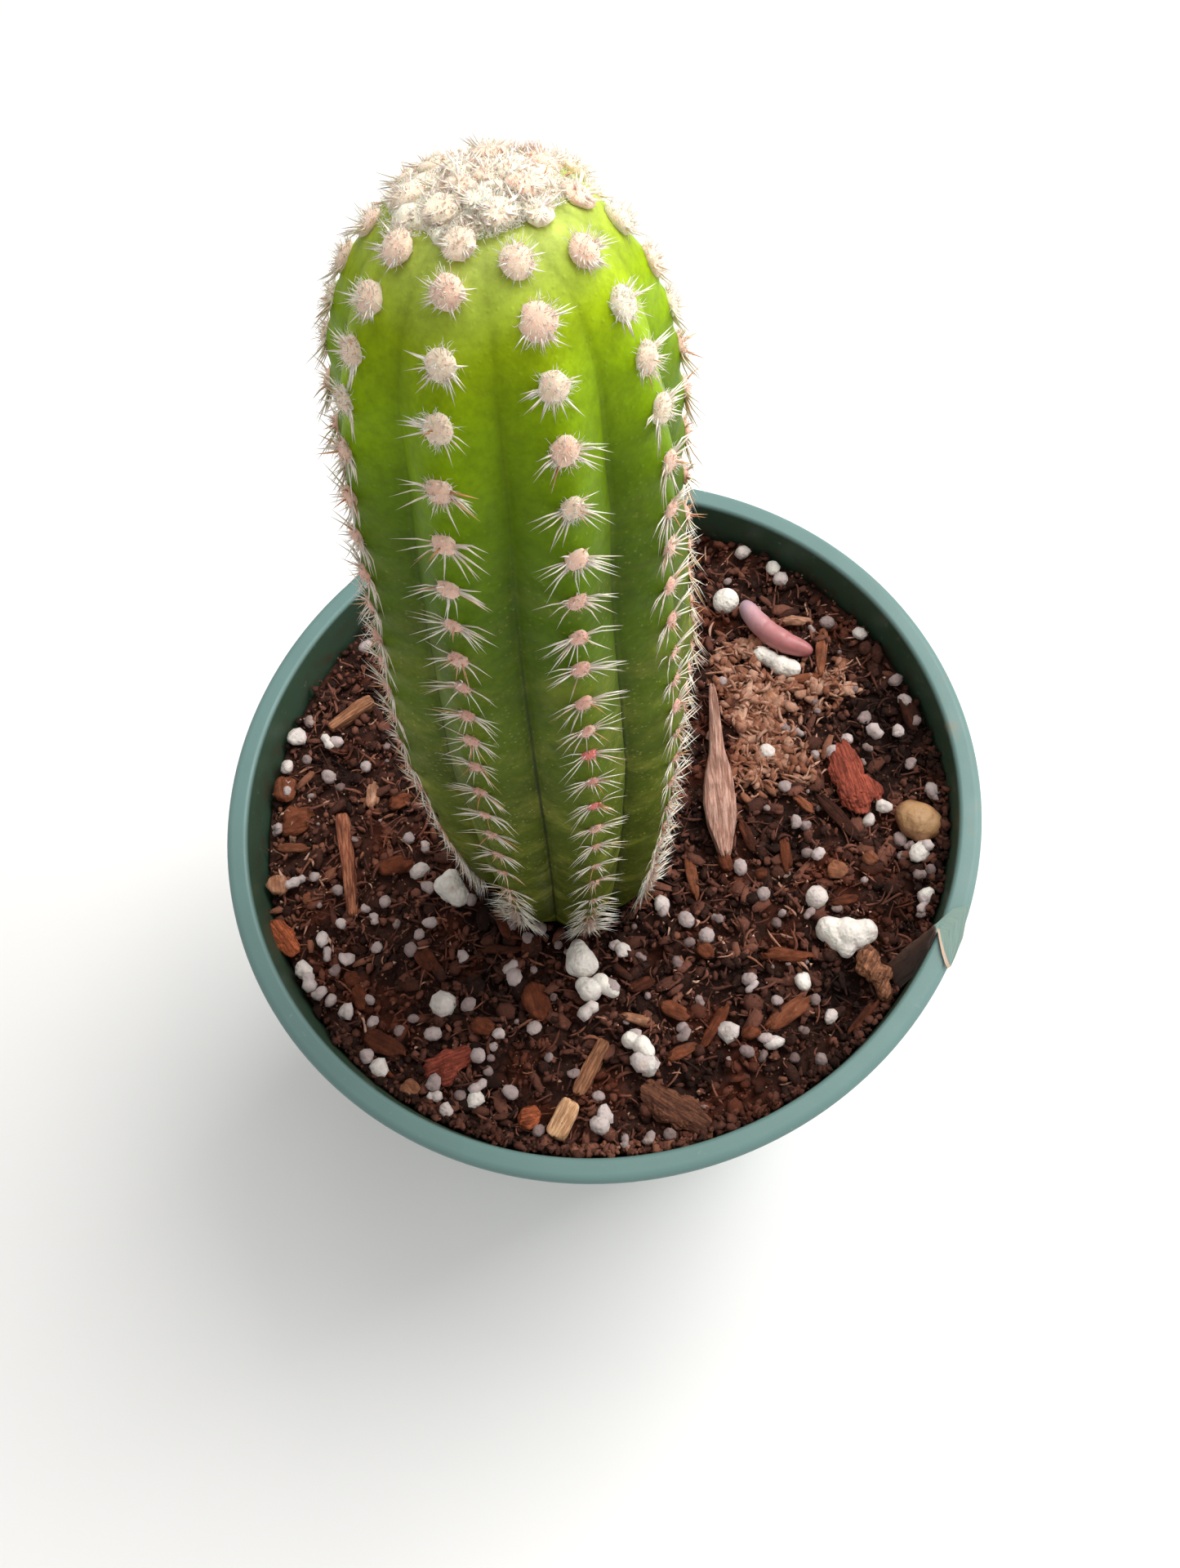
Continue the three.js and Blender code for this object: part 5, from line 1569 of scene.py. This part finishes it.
def build_spines():
    """White spines, a few of them golden brown: fans to both sides, some down and up the rib, some out."""
    a = settings("cactus_areoles")
    draw = np.random.default_rng(9)
    frames = areole_frames()
    s = frames[1]
    crowded = 1 - smoothstep(12 * MM, 30 * MM, s)
    counts = np.round(a.spines + 8 * crowded).astype(int)
    which = np.repeat(np.arange(len(s)), counts)
    order = np.concatenate([np.arange(k) for k in counts])
    n = len(which)
    pick = draw.random(n)
    forward = (pick >= 0.3) & (pick < 0.38)
    right_or_left = np.where(order % 2 == 0, 0.0, math.pi)
    mirrored = np.where(order % 2 == 0, 1.0, -1.0)
    lower = 20 * smoothstep(82 * MM, 98 * MM, s[which])
    azimuth = right_or_left + mirrored * np.radians(38 - lower - 78 * draw.random(n))
    lift = np.radians(4 + 20 * draw.random(n))
    reach = a.spine_length * (0.66 + 0.36 * draw.random(n))
    for chosen, bearing, spread, low, more, least, longer in (
            (pick < 0.14, -90, 26, 6, 16, 0.62, 0.3),
            ((pick >= 0.14) & (pick < 0.3), 90, 40, 20, 30, 0.36, 0.3),
            (forward, None, None, 45, 35, 0.36, 0.3)):
        if bearing is not None:
            azimuth = np.where(chosen, np.radians(bearing + spread * draw.standard_normal(n)), azimuth)
        lift = np.where(chosen, np.radians(low + more * draw.random(n)), lift)
        reach = np.where(chosen, a.spine_length * (least + longer * draw.random(n)), reach)
    height = s[which]
    reach = reach * (1 - 0.36 * smoothstep(96 * MM, 109 * MM, height))
    reach = reach * (1 - 0.3 * smoothstep(110 * MM, 112.6 * MM, height))
    reach = reach * (1.12 - 0.12 * smoothstep(14 * MM, 30 * MM, height))
    lift = lift + np.radians(14) * smoothstep(100 * MM, 112 * MM, height)
    golden = ((draw.random(n) < 0.06) | (forward & (draw.random(n) < 0.4))) & (height < 106 * MM)

    tufts = crown_frames()
    own = np.repeat(np.arange(CROWN_TUFTS), SPINES_PER_TUFT)
    m = len(own)
    azimuth = np.concatenate([azimuth, TURN * draw.random(m)])
    lift = np.concatenate([lift, np.radians(10 + 40 * draw.random(m))])
    reach = np.concatenate([reach, (0.5 + 0.6 * draw.random(m)) * MM])
    golden = np.concatenate([golden, draw.random(m) < 0.02])
    frames = tuple(np.concatenate([first[which], second[own]]) for first, second in zip(frames, tufts))
    n += m

    local = columns(np.cos(azimuth) * np.cos(lift), np.sin(azimuth) * np.cos(lift), np.sin(lift))
    ahead = in_frame(frames, local)
    roots = frames[2] + frames[5] * 0.25 * MM + in_frame(frames, local * [1, 1, 0]) * 0.3 * MM
    sag = -frames[5] * (0.03 * reach)[:, None] + 0.03 * reach[:, None] * draw.standard_normal((n, 3))
    thin = np.concatenate([0.78 + 0.22 * smoothstep(74 * MM, 98 * MM, height), np.ones(m)])
    widths = a.spine_width * thin * (0.75 + 0.4 * draw.random(n))
    tones = np.where(golden, 0.25 * draw.random(n), 0.6 + 0.4 * draw.random(n))
    spines = needles("spines", roots, roots + ahead * reach[:, None], widths, sag, tones)
    finish_piece(spines, ivory_spine(), "cactus")


# Loose pieces


# Lumps and flakes that can be told apart: for each its material, how coarse it is, and its lobes as the pixel
# of each lobe's middle and the lobe's radius in pixels
LUMPS_SEEN = {
    "perlite_lump_right": ("perlite_chalk", 0.022, [
        (1016, 1136, 17), (1061, 1138, 16), (1038, 1141, 20), (1037, 1159, 12), (1026, 1148, 15),
        (1051, 1147, 15)]),
    "perlite_lump_pointed": ("perlite_chalk", 0.02, [
        (711, 1177, 19), (708, 1167, 15), (707, 1157, 10), (718, 1180, 15), (704, 1182, 12)]),
    "perlite_lump_front": ("perlite_chalk", 0.025, [
        (722, 1211, 15), (735, 1201, 11), (749, 1212, 10), (714, 1205, 11)]),
    "perlite_lump_left": ("perlite_chalk", 0.04, [
        (551, 1086, 17), (560, 1095, 14), (543, 1083, 13), (552, 1073, 11)]),
    "perlite_lump_far": ("perlite_chalk", 0.018, [(889, 733, 16), (887, 736, 14)]),
    "perlite_lump_under_bud": ("perlite_chalk", 0.03, [
        (932, 799, 12), (944, 805, 11), (956, 813, 13), (969, 817, 13)]),
    "perlite_lump_centre_front": ("perlite_chalk", 0.03, [(771, 1272, 11), (785, 1278, 12), (792, 1286, 10)]),
    "pebble": ("worn_pebble", 0.02, [(1125, 1003, 25), (1116, 996, 20), (1136, 1006, 20), (1128, 1018, 13)]),
    "bark_chunk_right": ("crumbly_bark", 0.09, [
        (1064, 1172, 15), (1074, 1192, 15), (1084, 1214, 12), (1058, 1184, 11), (1088, 1190, 9)]),
    "bark_flake_right": ("flaky_red_bark", 0.1, [
        (1029, 919, 16), (1037, 942, 22), (1049, 965, 24), (1054, 984, 14), (1066, 966, 15)]),
    "bark_flake_front_left": ("flaky_red_bark", 0.1, [
        (529, 1308, 13), (548, 1302, 17), (566, 1293, 14), (546, 1318, 11)]),
    "bark_flake_far_left": ("rust_bark", 0.1, [(336, 1136, 13), (346, 1148, 16), (356, 1158, 12)]),
    "bark_crumb_front": ("rust_bark", 0.08, [(646, 1369, 14), (651, 1363, 11)]),
    "bark_slab_front": ("slab_bark", 0.1, [
        (800, 1340, 16), (816, 1352, 21), (838, 1362, 22), (856, 1376, 17), (796, 1328, 10)]),
}

# The slot of each material of the loose pieces
SLOTS = {
    "perlite_chalk": "perlite", "worn_pebble": "pebble", "crumbly_bark": "brown_bark",
    "slab_bark": "brown_bark", "flaky_red_bark": "red_bark", "rust_bark": "red_bark",
    "stick_wood": "red_bark", "pale_wood": "tan_wood", "block_wood": "tan_wood", "brown_wood": "tan_wood",
}


def reach_of_node(node, more):
    """Height of a node's underside, of its top with a little more, and of the part that the camera sees."""
    points = coordinates(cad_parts[node])
    low, high = points.min(0)[2], points.max(0)[2] + more
    return low, high, (low + 2 * high) / 3


def build_lumps():
    """Perlite lumps, the pebble and the pieces of bark: lobes grown together, roughened and pitted."""
    pieces = settings("cactus_pieces")
    split_wood("slab_bark", pieces.brown_bark, paint(80, 48, 36))
    split_wood("crumbly_bark", pieces.crumbly_bark, paint(104, 66, 48))
    split_wood("flaky_red_bark", pieces.red_bark, paint(112, 50, 36))
    split_wood("rust_bark", pieces.rust_bark, paint(124, 62, 38))
    worn_pebble()
    for number, (node, (finish, coarse, lobes)) in enumerate(LUMPS_SEEN.items()):
        low, high, seen_height = reach_of_node(node, 0.15 * MM)
        seen = [(*seen_at(column, row, seen_height), reach) for column, row, reach in lobes]
        middle = np.array([*np.mean([(x, y) for x, y, _, _ in seen], 0), (low + high) / 2])
        balls = [(x - middle[0], y - middle[1], 0, reach * pixel) for x, y, pixel, reach in seen]
        lump = new_primitive(bpy.ops.mesh.primitive_ico_sphere_add, node + "_fine", subdivisions=6, radius=1)
        ball = unit(coordinates(lump))
        move_points(lump, grown_together(ball, balls))
        edit_all(lambda: bpy.ops.mesh.vertices_smooth(factor=0.5, repeat=26))
        points = coordinates(lump)
        blur = rough(points + number, 330, 3)
        fine = rough(points + 7 + number, 1300, 4)
        pits = smoothstep(0.34, 0.0, cell_distance(points + number, 1100))
        points *= (1 + coarse * 1.5 * blur + coarse * fine - coarse * pits)[:, None]
        points[:, 2] *= (high - low) / (points[:, 2].max() - points[:, 2].min())
        move_points(lump, points + middle)
        # Painted light and shade: a lump's tone rises towards its top, so its top is painted whiter and its
        # foot greyer; the pebble's tone, also from its height, makes it darker brown towards its foot.
        on_top = (points[:, 2] - points[:, 2].min()) / np.ptp(points[:, 2])
        shade = 0.52 + 0.28 * on_top + 0.2 * np.clip(blur, -0.6, 1)
        tone_points(lump, "tone", smoothstep(0.5, 0.98, on_top) if node == "pebble" else shade)
        along = unit(np.array([*(np.array(balls[-2][:2]) - np.array(balls[0][:2])), 0]) + [1e-6, 0, 0])
        grain = columns(points @ along, points @ np.cross([0, 0, 1], along), points[:, 2])
        grain_along(lump, grain)
        finish_piece(lump, bpy.data.materials[finish], SLOTS[finish], node)


# Slivers and sticks: for each its material, how torn it is, the pixels of its near and far ends, and its
# widths in pixels from the near end to the far one
SPLINTERS = {
    "wood_sliver_beside_stem": (
        "pale_wood", 0.12, (890, 1058), (871, 830), (16, 24, 36, 40, 38, 30, 19, 16, 14, 12, 10)),
    "wood_sliver_front": ("brown_wood", 0.14, (706, 1344), (741, 1270), (17, 20, 19, 17, 19)),
    "wood_sliver_near_rim": ("block_wood", 0.1, (676, 1394), (702, 1346), (24, 26, 25, 24)),
    "wood_sliver_left": ("brown_wood", 0.14, (402, 894), (458, 854), (13, 15, 17, 17)),
    "bark_stick_left": ("stick_wood", 0.1, (432, 1126), (419, 992), (12, 14, 15, 18, 19)),
}


def build_splinters():
    """Slivers of wood and a stick, ridged along their grain and torn at their ends."""
    pieces = settings("cactus_pieces")
    split_wood("pale_wood", pieces.pale_wood, paint(160, 116, 100))
    split_wood("block_wood", pieces.tan_wood, paint(192, 144, 106))
    split_wood("brown_wood", pieces.brown_wood, paint(122, 78, 54))
    split_wood("stick_wood", pieces.stick_wood, paint(118, 66, 48))
    for number, (node, (finish, torn, near, far, widths)) in enumerate(SPLINTERS.items()):
        low, high, seen_height = reach_of_node(node, 0.2 * MM)
        near_x, near_y, pixel = seen_at(*near, seen_height)
        far_x, far_y, _ = seen_at(*far, seen_height)
        middle = np.array([(near_x + far_x) / 2, (near_y + far_y) / 2, (low + high) / 2])
        along_it = np.array([far_x - near_x, far_y - near_y, 0])
        long = np.linalg.norm(along_it)
        ahead = along_it / long
        turn = columns(ahead, np.cross([0, 0, 1], ahead), [0, 0, 1])
        stations = np.linspace(0, 1, len(widths))
        ends = np.random.default_rng(300 + number).random(4) * 10

        def place(u, v):
            around, along = u * TURN, 2 * v - 1
            across, rise = np.cos(around), np.sin(around)
            square = np.maximum(np.abs(across), np.abs(rise)) ** 0.7
            across, rise = across / square, rise / square
            fray = soft_noise(3.4 * across, ends[0], ends[1])
            full = (1 - np.abs(along) ** 9) ** 0.3
            ridges = soft_noise(1.3 * along, 5 * across + number, 3 * rise)
            x = along * (1 - torn * (0.4 + 1.2 * np.abs(fray))) * long / 2
            width = np.interp(v, stations, widths) * pixel
            bend = 0.05 * np.sin(along * 1.7 + ends[3]) * width
            y = across * full * (1 + 0.2 * ridges) * width / 2 + bend
            z = rise * np.sqrt(full) * (1 + 0.24 * ridges) * (high - low) / 2
            local = columns(x, y, z)
            return local @ turn.T + middle, {"grain": local}

        piece = wrapped_grid(node + "_fine", 48, 72, place)
        finish_piece(piece, bpy.data.materials[finish], SLOTS[finish], node)


# The dropped bud: the pixels of its middle line from its pale end, its width in pixels
BUD_LINE = [(913, 742), (926, 760), (943, 776), (964, 788), (989, 796)]
BUD_WIDTH = 27


def build_bud():
    """The dropped bud: a plump bent body with a blunt pale end."""
    low, high, _ = reach_of_node("dropped_bud", 0.2 * MM)
    spots = [seen_at(column, row, (low + high) / 2) for column, row in BUD_LINE]
    line = np.array([(x, y, (low + high) / 2) for x, y, _ in spots])
    radius = BUD_WIDTH / 2 * spots[0][2]
    stations = np.linspace(0, 1, len(line))

    def place(u, v):
        around, along = u * TURN, 2 * v - 1
        middle = columns(*(np.interp(v, stations, line[:, k]) for k in range(3)))
        ahead = unit(line[-1] - line[0])
        beside = np.cross([0, 0, 1], ahead)
        full = (1 - np.abs(along) ** np.where(along < 0, 9, 6)) ** 0.5 * (0.84 + 0.16 * np.cos(1.5 * along))
        crease = 1 - 0.06 * np.exp(-(((v - 0.4) / 0.03) ** 2)) - 0.05 * np.exp(-(((v - 0.7) / 0.03) ** 2))
        y = np.cos(around) * full * crease * radius
        z = np.sin(around) * full * crease * (high - low) / 2
        end = ahead * (radius * 0.5 * along**3)[:, None]
        points = middle + beside * y[:, None] + end
        points[:, 2] += z
        lumps = rough(points, 300, 2) * 0.1 * MM
        return points + lumps[:, None] * [0, 0, 1], {"tone": v}

    piece = wrapped_grid("dropped_bud_fine", 40, 72, place)
    finish_piece(piece, bud_skin(), "pink_skin", "dropped_bud")


# The husk's ribs from its foot in the mix to its tip on the lip: the pixels of the end nearer the viewer and
# of the far end, and their height in millimetres, with the share of the husk's length at which each stands
HUSK_RIBS = [
    ((1099, 1216), (1084, 1182), 85.0), ((1120, 1192), (1106, 1163), 87.2),
    ((1137, 1168), (1130, 1143), 89.3), ((1147, 1141), (1146, 1132), 90.25),
    ((1148, 1142), (1166, 1113), 90.3), ((1150, 1155), (1187, 1108), 90.3),
    ((1153, 1168), (1179, 1148), 90.3), ((1157, 1180), (1169, 1173), 90.3),
    ((1160, 1186), (1164, 1183), 90.2),
]
HUSK_STATIONS = [0, 0.16, 0.32, 0.44, 0.54, 0.66, 0.8, 0.93, 1]


def build_husk():
    """The torn husk: a thin brown leaf out of the mix, painted darker towards its near edge as shade, and its
    flap over the lip, with a highlight painted pale along its near edge.
    """
    ribs = np.array([[(*seen_at(*pixel, height * MM)[:2], height * MM) for pixel in (near, far)]
                     for near, far, height in HUSK_RIBS])

    def place(u, v):
        near, far = (columns(*(np.interp(v, HUSK_STATIONS, ribs[:, end, k]) for k in range(3)))
                     for end in (0, 1))
        over_lip = smoothstep(0.4, 0.46, v)
        ragged = 0.07 * soft_noise(9 * v, 2 * u, 0.4)
        share = 0.01 + 0.98 * u + ragged * (1 - over_lip)
        fold = (1 - (2 * u - 1) ** 2) * 0.2 * MM * (1 - over_lip)
        ripple = rough(columns(v * 3, u * 3, v * 0), 1.6, 3) * 0.2 * MM + 0.2 * MM
        ripple *= 1 - 0.8 * over_lip
        points = near + (far - near) * share[:, None] + columns(0 * v, 0 * v, fold + ripple)
        from_edge = share * np.linalg.norm(far - near, axis=-1)
        torn = smoothstep(0.56 * MM, 0.4 * MM, from_edge) * over_lip
        # Painted shade: the part in the pot darkens towards its near edge. Painted highlight: the flap's pale
        # near edge.
        tone = (0.04 + 0.34 * share**2) * (1 - over_lip) + 0.66 * over_lip + 0.3 * torn
        return points, {"tone": tone, "grain": columns(v * 15 * MM, u * 4 * MM, 0 * u)}

    leaf = wrapped_grid("torn_husk_fine", 96, 96, place, closed_round=False)
    alone(leaf)
    edit_all(lambda: bpy.ops.mesh.normals_make_consistent(inside=False))
    thick = leaf.modifiers.new("thickness", "SOLIDIFY")
    thick.thickness = 0.16 * MM
    thick.offset = 0
    bpy.ops.object.modifier_apply(modifier=thick.name)
    finish_piece(leaf, dry_leaf(), "dry_husk", "torn_husk")


# Stage


# The lights: name, place and side in metres, power in watts and tint, and the light of the room round them
LIGHTS = [
    ("key_light", (0.46, 0.2, 0.72), 0.5, 6.4, (1.0, 0.985, 0.955)),
    ("side_light", (0.85, -0.15, 0.38), 0.6, 3.2, (1.0, 0.99, 0.98)),
    ("top_light", (0.03, 0.08, 0.42), 0.12, 0.17, (1.0, 0.99, 0.97)),
]
ROOM_TINT = (1.0, 0.985, 0.965, 1)
ROOM_STRENGTH = 0.58


def build_stage():
    """A pale floor that curves up far away, soft light from above and from the right, and the camera."""
    stage = settings("cactus_stage")
    floor = wrapped_grid("floor", 96, 40, floor_place)
    coat(floor, pale_floor())

    world = bpy.data.worlds.new("soft_room")
    bpy.context.scene.world = world
    world.use_nodes = True
    background = world.node_tree.nodes["Background"]
    background.inputs["Color"].default_value = ROOM_TINT
    background.inputs["Strength"].default_value = ROOM_STRENGTH
    for light in LIGHTS:
        soft_light(*light)

    place, right, up, ahead = camera_axes()
    camera = bpy.data.objects.new("camera", bpy.data.cameras.new("camera"))
    camera.data.lens = stage.lens
    camera.data.sensor_width = FILM
    camera.data.clip_start = 10 * MM
    turn = Matrix((right, up, -ahead)).transposed()
    camera.matrix_world = Matrix.Translation(place) @ turn.to_4x4()
    bpy.context.scene.collection.objects.link(camera)
    bpy.context.scene.camera = camera
    bpy.context.scene.view_settings.view_transform = "Standard"


def floor_place(u, v):
    """Points of a wide dish: flat under the pot, and rising smoothly far from it."""
    flat, edge, rise = 1.6, 3.2, 0.9
    radius = edge * v
    lift = rise * smoothstep(flat, edge, radius)
    return columns(radius * np.cos(u * TURN), radius * np.sin(u * TURN), lift), {}


def soft_light(name, place, size, power, tint):
    """A square area light aimed at the middle of the plant."""
    data = bpy.data.lights.new(name, "AREA")
    data.size = size
    data.energy = power
    data.color = tint
    light = bpy.data.objects.new(name, data)
    aim = Vector((0, 0, 100 * MM)) - Vector(place)
    light.matrix_world = Matrix.Translation(place) @ aim.to_track_quat("-Z", "Y").to_matrix().to_4x4()
    bpy.context.scene.collection.objects.link(light)


# Operators, panel and registering


class CACTUS_OT_pot(bpy.types.Operator):
    """Spin the plastic pot and bore its drain holes"""

    bl_idname = "cactus.pot"
    bl_label = "Pot"

    def execute(self, context):
        build_pot()
        return {"FINISHED"}


class CACTUS_OT_mix(bpy.types.Operator):
    """Fill the pot with potting mix and strew its crumbs, bark and fibres"""

    bl_idname = "cactus.mix"
    bl_label = "Potting mix"

    def execute(self, context):
        peat_crumb()
        perlite_chalk()
        build_mix_body()
        build_crumbs()
        build_seen_bark()
        return {"FINISHED"}


class CACTUS_OT_grains(bpy.types.Operator):
    """Strew the perlite grains on the mix"""

    bl_idname = "cactus.grains"
    bl_label = "Perlite grains"

    def execute(self, context):
        build_grains()
        return {"FINISHED"}


class CACTUS_OT_stem(bpy.types.Operator):
    """Grow the ribbed stem"""

    bl_idname = "cactus.stem"
    bl_label = "Stem"

    def execute(self, context):
        build_stem()
        return {"FINISHED"}


class CACTUS_OT_areoles(bpy.types.Operator):
    """Set wool and spines on the stem"""

    bl_idname = "cactus.areoles"
    bl_label = "Areoles and spines"

    def execute(self, context):
        build_wool()
        build_crown()
        build_spines()
        return {"FINISHED"}


class CACTUS_OT_lumps(bpy.types.Operator):
    """Model the perlite lumps, the pebble and the pieces of bark"""

    bl_idname = "cactus.lumps"
    bl_label = "Lumps"

    def execute(self, context):
        build_lumps()
        return {"FINISHED"}


class CACTUS_OT_splinters(bpy.types.Operator):
    """Model the slivers of wood and the stick"""

    bl_idname = "cactus.splinters"
    bl_label = "Splinters"

    def execute(self, context):
        build_splinters()
        return {"FINISHED"}


class CACTUS_OT_litter(bpy.types.Operator):
    """Model the dropped bud and the torn husk"""

    bl_idname = "cactus.litter"
    bl_label = "Bud and husk"

    def execute(self, context):
        build_bud()
        build_husk()
        return {"FINISHED"}


class CACTUS_OT_stage(bpy.types.Operator):
    """Set up the floor, the lights and the camera"""

    bl_idname = "cactus.stage"
    bl_label = "Stage"

    def execute(self, context):
        build_stage()
        return {"FINISHED"}


OPERATORS = (
    CACTUS_OT_stage, CACTUS_OT_pot, CACTUS_OT_mix, CACTUS_OT_grains, CACTUS_OT_stem, CACTUS_OT_areoles,
    CACTUS_OT_lumps, CACTUS_OT_splinters, CACTUS_OT_litter,
)


class CACTUS_PT_panel(bpy.types.Panel):
    """Sizes, colours and build buttons of the potted cactus"""

    bl_label = "Potted cactus"
    bl_idname = "CACTUS_PT_panel"
    bl_space_type = "VIEW_3D"
    bl_region_type = "UI"
    bl_category = "Potted cactus"

    def draw(self, context):
        for operator in OPERATORS:
            self.layout.operator(operator.bl_idname)
        for name, group in GROUPS.items():
            box = self.layout.box()
            for key in group.__annotations__:
                box.prop(getattr(context.scene, name), key)


def register():
    for group in GROUPS.values():
        bpy.utils.register_class(group)
    for name, group in GROUPS.items():
        setattr(bpy.types.Scene, name, PointerProperty(type=group))
    for operator in OPERATORS:
        bpy.utils.register_class(operator)
    bpy.utils.register_class(CACTUS_PT_panel)


def unregister():
    bpy.utils.unregister_class(CACTUS_PT_panel)
    for operator in reversed(OPERATORS):
        bpy.utils.unregister_class(operator)
    for name in GROUPS:
        delattr(bpy.types.Scene, name)
    for group in reversed(GROUPS.values()):
        bpy.utils.unregister_class(group)


def main():
    """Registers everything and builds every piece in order."""
    register()
    for operator in OPERATORS:
        getattr(bpy.ops.cactus, operator.bl_idname.split(".")[1])()


if __name__ == "__main__":
    main()
